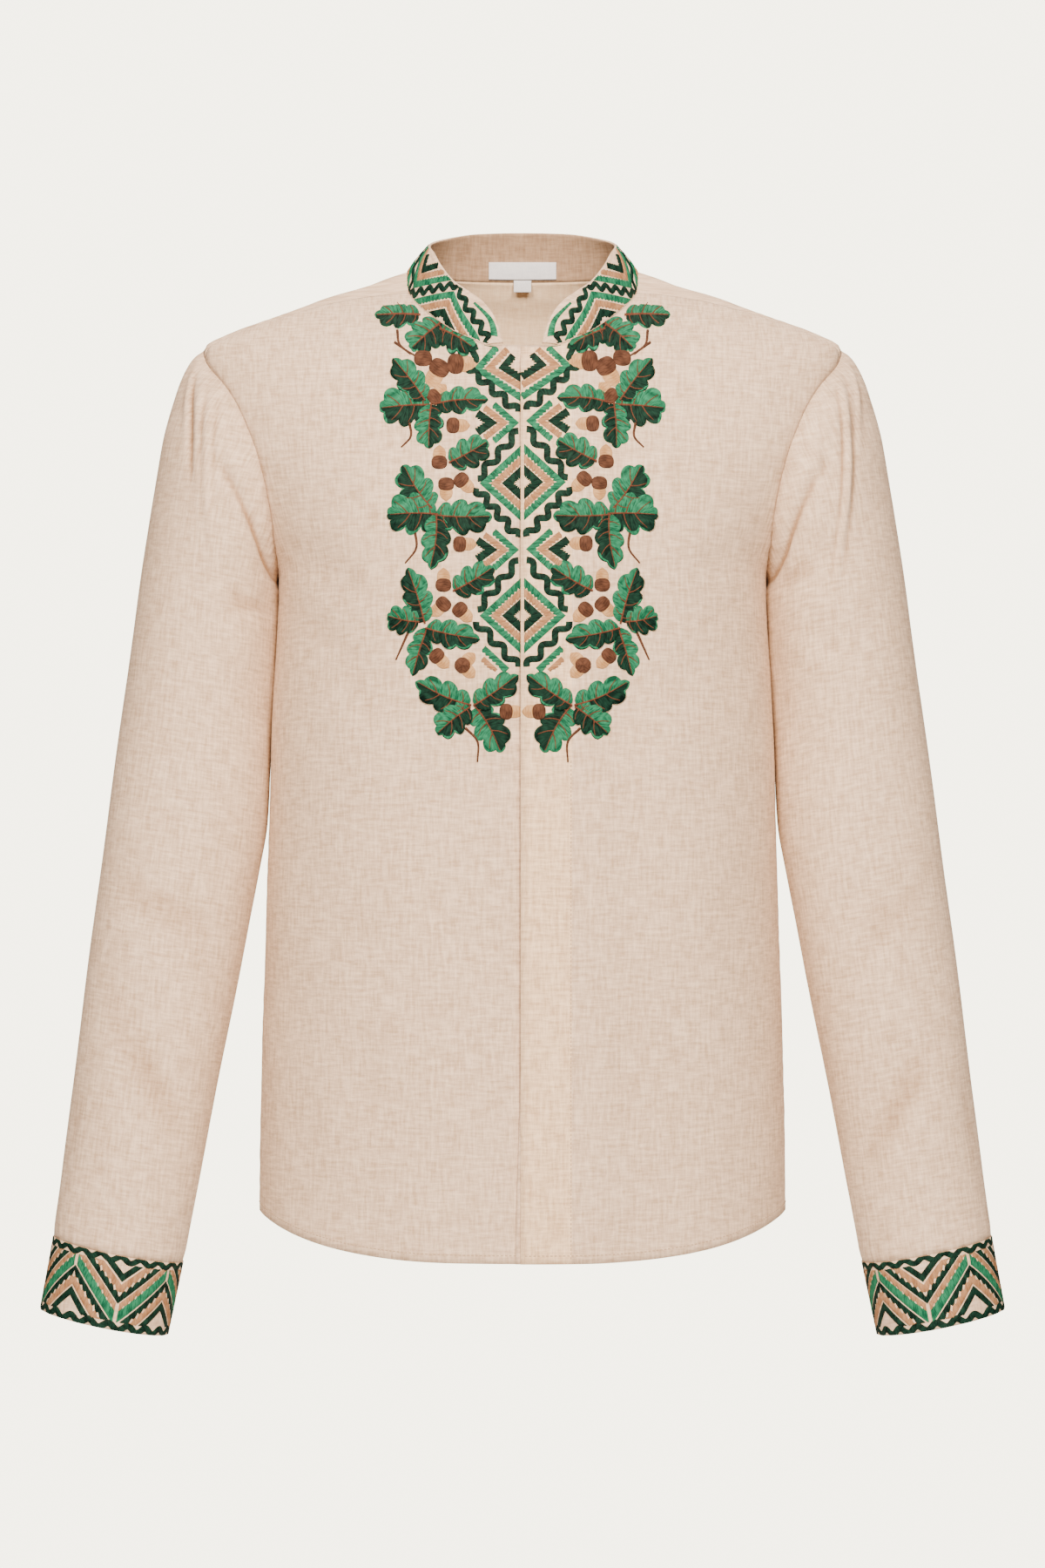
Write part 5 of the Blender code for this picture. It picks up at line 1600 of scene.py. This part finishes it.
# Turns of the wave joined by waved lines; in each triangle, bands moved from its sides towards its middle
def collarPatches():
    high = collarHeight(np.array([turn[0] for turn in collarTurns]) * 0.001) * 1000.0
    inset = collarLook["inset"]
    turns = [(run, inset + up * (high[n] - 2 * inset)) for n, (run, up) in enumerate(collarTurns)]
    width, wave, period = collarLook["waveWidth"], collarLook["wave"], collarLook["wavePeriod"]
    made = []
    for line in zip(turns[:-1], turns[1:]):
        made.append(linePatch(line, width, "darkGreen", 1.0, wave, period, sharp=True))
    teeth = {"teeth": -1, "step": collarLook["toothStep"], "depth": collarLook["toothDepth"]}
    for n, (run, up) in enumerate(collarTurns[:-1]):
        left = np.array(turns[n - 1] if n else (-turns[1][0], turns[1][1]))
        right = np.array(turns[n + 1])
        apex, middle = np.array(turns[n]), np.array([run, left[1]])
        for share, width, thread in collarLook["bands"]:
            tip = apex + share * (middle - apex)
            ends = [end + share * (np.array([run, end[1]]) - end) for end in (left, right)]
            path = [ends[1], tip, ends[0]] if up else [ends[0], tip, ends[1]]
            if n == 0:
                path = path[1:]  # the other half is the mirrored one's
            made += bandPatches(path, width, thread, uprightEnds=n == 0, **teeth)
    width, endWidth = collarLook["frontWidths"]
    made.append(linePatch(collarLook["frontBand"], width, "brightGreen", 1.0, endWidth=endWidth))
    return made


def collarHeight(run):  # the collar's height above the seam, in metres
    points = collar["points"]
    middle = points[points.shape[0] // 2]
    high = np.linalg.norm(points[-1] - points[0], axis=-1)
    return np.interp(run, runAlong(middle), high)


# On the collar's outside: the run along its middle gives the column, the height over the seam the row. What
# would pass its edges sinks into the cloth.
def layOnCollar(plane, height, half):
    points, normals = collar["points"], collar["normals"]
    run = runAlong(points[points.shape[0] // 2])
    along = np.clip(plane[:, 0], 0.0, run[-1] - 0.0008)
    column = np.interp(along, run, np.arange(len(run)))
    high = collarHeight(along)
    up = np.clip(plane[:, 1], 0.0008, high - 0.0008)
    off = np.abs(up - plane[:, 1]) + np.abs(along - plane[:, 0]) > 1e-6
    row = up / high * (points.shape[0] - 1)
    height = np.where(off & (height > 0), -0.0001, height) + form["embroideredThickness"] / 2.0
    laid = readGrid(points, row, column) + unit(readGrid(normals, row, column)) * height[:, None]
    return laid if half > 0 else mirrored(laid)


# Cuff pattern: zigzag bands between two waves. A zigzag falls by its height in one step and rises in the
# next, and the bands' edges are offsets from it.
# (upper edge, lower edge, thread, toothed edge, gap beside the turns)
cuffLook = {
    "steps": 8,
    "fall": 36.0,
    "limits": (6.0, 47.9),
    "waves": (2.9, 50.9),
    "waveBeats": 20,
    "wave": 2.0,
    "waveWidth": 5.2,
    "turnAngle": 102.0,
    "toothStep": 5.6,
    "toothDepth": 3.0,
    "bands": (
        (-22.8, -15.8, "darkGreen", 0, 0.0),
        (-14.6, -6.6, "tan", -1, 0.0),
        (-8.0, -0.8, "darkGreen", 1, 0.0),
        (-0.4, 6.4, "tan", -1, 1.3),
        (3.6, 14.2, "brightGreen", 1, 1.3),
        (14.8, 22.0, "darkGreen", -1, 0.0),
        (20.6, 28.8, "tan", 1, 0.0),
        (29.6, 36.6, "darkGreen", 0, 0.0),
    ),
}


def cuffPatches(girth):  # each band in each step of the zigzag, then the waves round both edges
    made, stepLength = [], girth / cuffLook["steps"]
    fall = cuffLook["fall"]
    slope = np.hypot(fall, stepLength) / stepLength
    for n in range(cuffLook["steps"]):
        for upper, lower, thread, teeth, gap in cuffLook["bands"]:
            s = np.linspace(gap, stepLength - gap, 41)[:, None]
            level = fall * (s / stepLength if n % 2 == 0 else 1.0 - s / stepLength)
            along = (s if n % 2 == 0 else stepLength - s) * slope
            tooth = teethAlong(along, cuffLook["toothStep"], cuffLook["toothDepth"])
            low = upper + (tooth if teeth > 0 else 0.0 * s)
            high = lower - (tooth if teeth < 0 else 0.0)
            down = level + low + (high - low) * satinShares[None, :]
            plane = np.stack([n * stepLength + s + 0.0 * down, down], axis=-1)
            across = (down - level) / slope
            uv = np.stack([along + satin["slant"] * across, across], axis=-1)
            made.append(patch(plane, satinRise(satin["profile"], down), thread, uv))
    width, wave, period = cuffLook["waveWidth"], cuffLook["wave"], girth / cuffLook["waveBeats"]
    for level in cuffLook["waves"]:
        s = np.linspace(0.0, girth, 25)
        line = np.stack([s, level + 0.0 * s], axis=1)
        made.append(linePatch(line, width, "darkGreen", 1.0, wave, period, sharp=True))
    return made


# On the cuff's outside: the way round gives the column and the height the row. What would pass the limits
# between the waves sinks into the cloth.
def makeCuffEmbroidery():
    for half, name in ((1, "cuffEmbroideryLeft"), (-1, "cuffEmbroideryRight")):
        sleeve = sleeves[half]
        row = sleeve["cuffRow"]
        grid, normals = sleeve["grid"][row:], sleeve["cuffNormals"][row:]
        run = runAlong(grid[len(grid) // 2])
        girth = run[-1]
        high = np.linalg.norm(grid[-1] - grid[0], axis=-1).mean()
        turn = np.append(sleeve["turn"], 1.0)
        firstTurn = sleeve["topTurn"] * (1.0 - cuffLook["turnAngle"] / 180.0)
        start = np.interp(firstTurn, turn, run) - girth / cuffLook["steps"]
        patches = cuffPatches(girth * 1000.0)
        count = [p["height"].size for p in patches]
        isWave = np.arange(len(patches)) >= len(patches) - len(cuffLook["waves"])
        onWave = np.repeat(isWave, count)

        def lay(plane, height):  # round from the first turn, down from the seam, and out by the height
            along = (plane[:, 0] + start) % girth
            column = np.interp(along, run, np.arange(len(run)))
            low, top = cuffLook["limits"]
            down = plane[:, 1] * 1000.0
            inBand = onWave | ((down > low) & (down < top))
            row = np.where(onWave, down, np.clip(down, low, top)) * 0.001 / high * (len(grid) - 1)
            rise = np.where(inBand | (height <= 0), height, -0.0001) + form["embroideredThickness"] / 2.0
            laid = readGrid(grid, row, column) + unit(readGrid(normals, row, column)) * rise[:, None]
            return laid if half > 0 else mirrored(laid)

        layPatches(name, patches, lay)


makeChestEmbroidery()
print("chest embroidery made")
for half, name in ((1, "collarEmbroideryLeft"), (-1, "collarEmbroideryRight")):
    layPatches(name, collarPatches(), lambda plane, height: layOnCollar(plane, height, half))
makeCuffEmbroidery()
print("collar and cuff embroidery made")


# Seam stitches: short threads on the cloth along the hem and inside the placket's edge
stitchLook = {
    "step": 0.0030,
    "length": 0.0021,
    "width": 0.0009,
    "height": 0.00035,
    "across": (-1.0, -0.6, 0.0, 0.6, 1.0),
    "dome": (-0.4, 0.7, 1.0, 0.7, -0.4),
    "mapLength": 0.0020,
    "hem": 0.0060,
    "inside": 0.0012,
    "topZ": -0.350,
}


def hemRow(surface, half):  # the outside of one half, the hem's distance up from its lower edge
    outside = liftedGrid(surface, form["clothThickness"] / 2.0)
    up, columns = runAlong(outside), np.arange(outside.shape[1])
    rows = np.array([np.interp(stitchLook["hem"], up[:, k], np.arange(len(up))) for k in columns])
    points = readGrid(outside, rows, columns + 0.0)
    normals = readGrid(surface["normals"], rows, columns + 0.0)
    return (points, normals) if half > 0 else (mirrored(points), mirrored(normals))


def stitchGrids(points, normals):  # a domed thread for each stitch along a row of points
    run = runAlong(points)
    starts = (np.arange(int(run[-1] / stitchLook["step"]) - 1) + 0.5) * stitchLook["step"]
    across = np.array(stitchLook["across"]) * stitchLook["width"] / 2.0
    dome = np.array(stitchLook["dome"])
    share = np.linspace(0.0, 1.0, len(dome))
    s = starts[:, None] + share[None, :] * stitchLook["length"]
    centre = np.stack([np.interp(s, run, points[:, k]) for k in range(3)], axis=-1)
    out = unit(np.stack([np.interp(s, run, normals[:, k]) for k in range(3)], axis=-1))
    side = unit(np.cross(out, centre[:, -1:] - centre[:, :1]))
    rise = np.minimum(dome[:, None], dome[None, :]) * stitchLook["height"]
    grids = centre[:, :, None] + across[:, None] * side[:, :, None] + rise[..., None] * out[:, :, None]
    uv = np.stack(np.broadcast_arrays(share[:, None] * stitchLook["mapLength"], across[None, :]), axis=-1)
    return [(grid, uv, np.repeat(outward[:, None], len(dome), axis=1)) for grid, outward in zip(grids, out)]


def makeStitches():  # rows along both hems, and one down the placket
    grids = []
    for surface in (frontSurface, backSurface):
        for half in (1, -1):
            grids += stitchGrids(*hemRow(surface[half], half))
    z = np.linspace(form["hemCentreZ"] + 0.002, stitchLook["topZ"], 160)
    x = placket["stitchX"] - stitchLook["inside"] + 0.0 * z
    row = frontPoint(x, z, 1, 2.0, form["clothThickness"] / 2.0)
    grids += stitchGrids(row, np.tile([0.0, -1.0, 0.0], (len(row), 1)))
    piece = meshFromGrids("seamStitches", grids, [seamThread])


makeStitches()
print("seam stitches made")


# Label and tag inside the collar's back

# Half width, band of the collar's height, distance in from its middle surface, swelling and thickness
labelLook = {"halfWidth": 0.0252, "band": (0.05, 0.41), "inset": 0.0019, "swell": 0.0006, "thickness": 0.0007}
tagLook = {"halfWidth": 0.0065, "band": (-0.20, 0.035), "inset": 0.0019, "swell": 0.0003, "thickness": 0.0006}


def collarInside(x, share, inset):  # inside the collar's back at x and a share of its height
    rear = collar["points"][:, : form["neckSplit"] * steps["neckSteps"]]
    low = [np.interp(np.abs(x), rear[0, :, 0], rear[0, :, k]) for k in (1, 2)]
    high = [np.interp(np.abs(x), rear[-1, :, 0], rear[-1, :, k]) for k in (1, 2)]
    y = low[0] + share * (high[0] - low[0]) + form["collarBelly"] * np.sin(np.pi * np.clip(share, 0.0, 1.0))
    return np.stack([x + 0.0 * y, y - inset, low[1] + share * (high[1] - low[1])], axis=-1)


# A sheet on the collar's inside, swollen by a half sine up it, flatter towards its ends.
def makeLabel(name, node, look):
    x = np.linspace(-look["halfWidth"], look["halfWidth"], 41)[None, :]
    share = np.linspace(*look["band"], 15)[:, None]
    u, v = x / look["halfWidth"], (share - look["band"][0]) / (look["band"][1] - look["band"][0])
    inset = look["inset"] + look["swell"] * (1 - u**4) * np.sin(np.pi * v)
    grid = collarInside(x + 0.0 * share, share + 0.0 * x, inset)
    outward = np.zeros(grid.shape)
    outward[..., 1] = -1.0
    piece = meshFromGrids(name, [(grid, gridUv(grid), outward)], [labelTape])
    thicken(piece, look["thickness"])
    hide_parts(node)


makeLabel("neckLabel", "neck_label", labelLook)
makeLabel("sizeTag", "size_tag", tagLook)
print("label and tag made")


# Camera, floor and light


def makeCamera():  # level, at the view's distance in front, with the lens that its height asks for
    data = bpy.data.cameras.new("camera")
    data.sensor_fit = "VERTICAL"
    data.sensor_height = view["sensor"]
    data.lens = view["sensor"] * view["distance"] / view["height"]
    camera = bpy.data.objects.new("camera", data)
    camera.location = (0.0, -view["distance"], view["centreZ"])
    camera.rotation_euler = (np.pi / 2, 0.0, 0.0)
    bpy.context.collection.objects.link(camera)
    bpy.context.scene.camera = camera


lights = {
    # name: place, size, power, colour
    "key": ((-0.8, -2.7, 1.35), 0.9, 157.0, (1.0, 0.82, 0.66)),
    "fill": ((0.8, -2.7, 1.35), 0.9, 154.0, (1.0, 0.82, 0.66)),
    "top": ((0.0, 0.6, 2.4), 2.0, 40.0, (1.0, 0.82, 0.70)),
    "rear": ((0.4, 3.2, 1.0), 1.6, 150.0, (1.0, 0.82, 0.70)),
}


def makeLights():  # soft discs, each turned to the shirt's middle
    aim = np.array([0.0, 0.0, -0.35])
    for name, (place, size, power, colour) in lights.items():
        data = bpy.data.lights.new(name, "AREA")
        data.shape = "DISK"
        data.size = size
        data.energy = power
        data.color = colour
        light = bpy.data.objects.new(name, data)
        light.location = place
        ahead = aim - np.array(place)
        flat = np.hypot(ahead[0], ahead[1])
        light.rotation_euler = (np.pi / 2 + np.arctan2(ahead[2], flat), 0.0, np.arctan2(-ahead[0], ahead[1]))
        bpy.context.collection.objects.link(light)


backdrop = {
    "seen": (1.0, 0.94, 0.752),
    "seenStrength": 5.7,
    "lit": (1.0, 0.82, 0.70),
    "litStrength": 0.20,
}


def makeWorld():  # the camera sees the pale backdrop; the cloth is lit by a much dimmer, warmer one
    world = bpy.data.worlds.new("studio")
    bpy.context.scene.world = world
    world.use_nodes = True
    nodes, links = world.node_tree.nodes, world.node_tree.links
    seen = nodes["Background"]
    seen.inputs["Color"].default_value = (*backdrop["seen"], 1.0)
    seen.inputs["Strength"].default_value = backdrop["seenStrength"]
    lit = nodes.new("ShaderNodeBackground")
    lit.inputs["Color"].default_value = (*backdrop["lit"], 1.0)
    lit.inputs["Strength"].default_value = backdrop["litStrength"]
    ray = nodes.new("ShaderNodeLightPath")
    mix = nodes.new("ShaderNodeMixShader")
    links.new(ray.outputs["Is Camera Ray"], mix.inputs["Fac"])
    links.new(lit.outputs["Background"], mix.inputs[1])
    links.new(seen.outputs["Background"], mix.inputs[2])
    links.new(mix.outputs["Shader"], nodes["World Output"].inputs["Surface"])


floorLook = {"z": -1.30, "radius": 1.9, "colour": (0.80, 0.795, 0.775)}


def makeFloor():  # a level disc well under the shirt
    rings = np.linspace(0.0, 1.0, 12)[:, None] * floorLook["radius"]
    turn = np.linspace(0.0, 2 * np.pi, 97)[None, :]
    level = floorLook["z"] + 0.0 * rings * turn
    grid = np.stack([rings * np.cos(turn), rings * np.sin(turn), level], axis=-1)
    rows, columns = grid.shape[:2]
    index = np.arange(rows * columns).reshape(rows, columns)
    quads = np.stack([index[:-1, :-1], index[1:, :-1], index[1:, 1:], index[:-1, 1:]], axis=-1).reshape(-1, 4)
    mesh = bpy.data.meshes.new("floor")
    mesh.from_pydata(grid.reshape(-1, 3).tolist(), [], quads.tolist())
    material = bpy.data.materials.new("floor")
    shader = shaderNodes(material)[2]
    shader.inputs["Base Color"].default_value = (*floorLook["colour"], 1.0)
    shader.inputs["Roughness"].default_value = 0.9
    mesh.materials.append(material)
    floor = bpy.data.objects.new("floor", mesh)
    bpy.context.collection.objects.link(floor)


makeCamera()
makeLights()
makeWorld()
makeFloor()
print("camera, floor and light made")
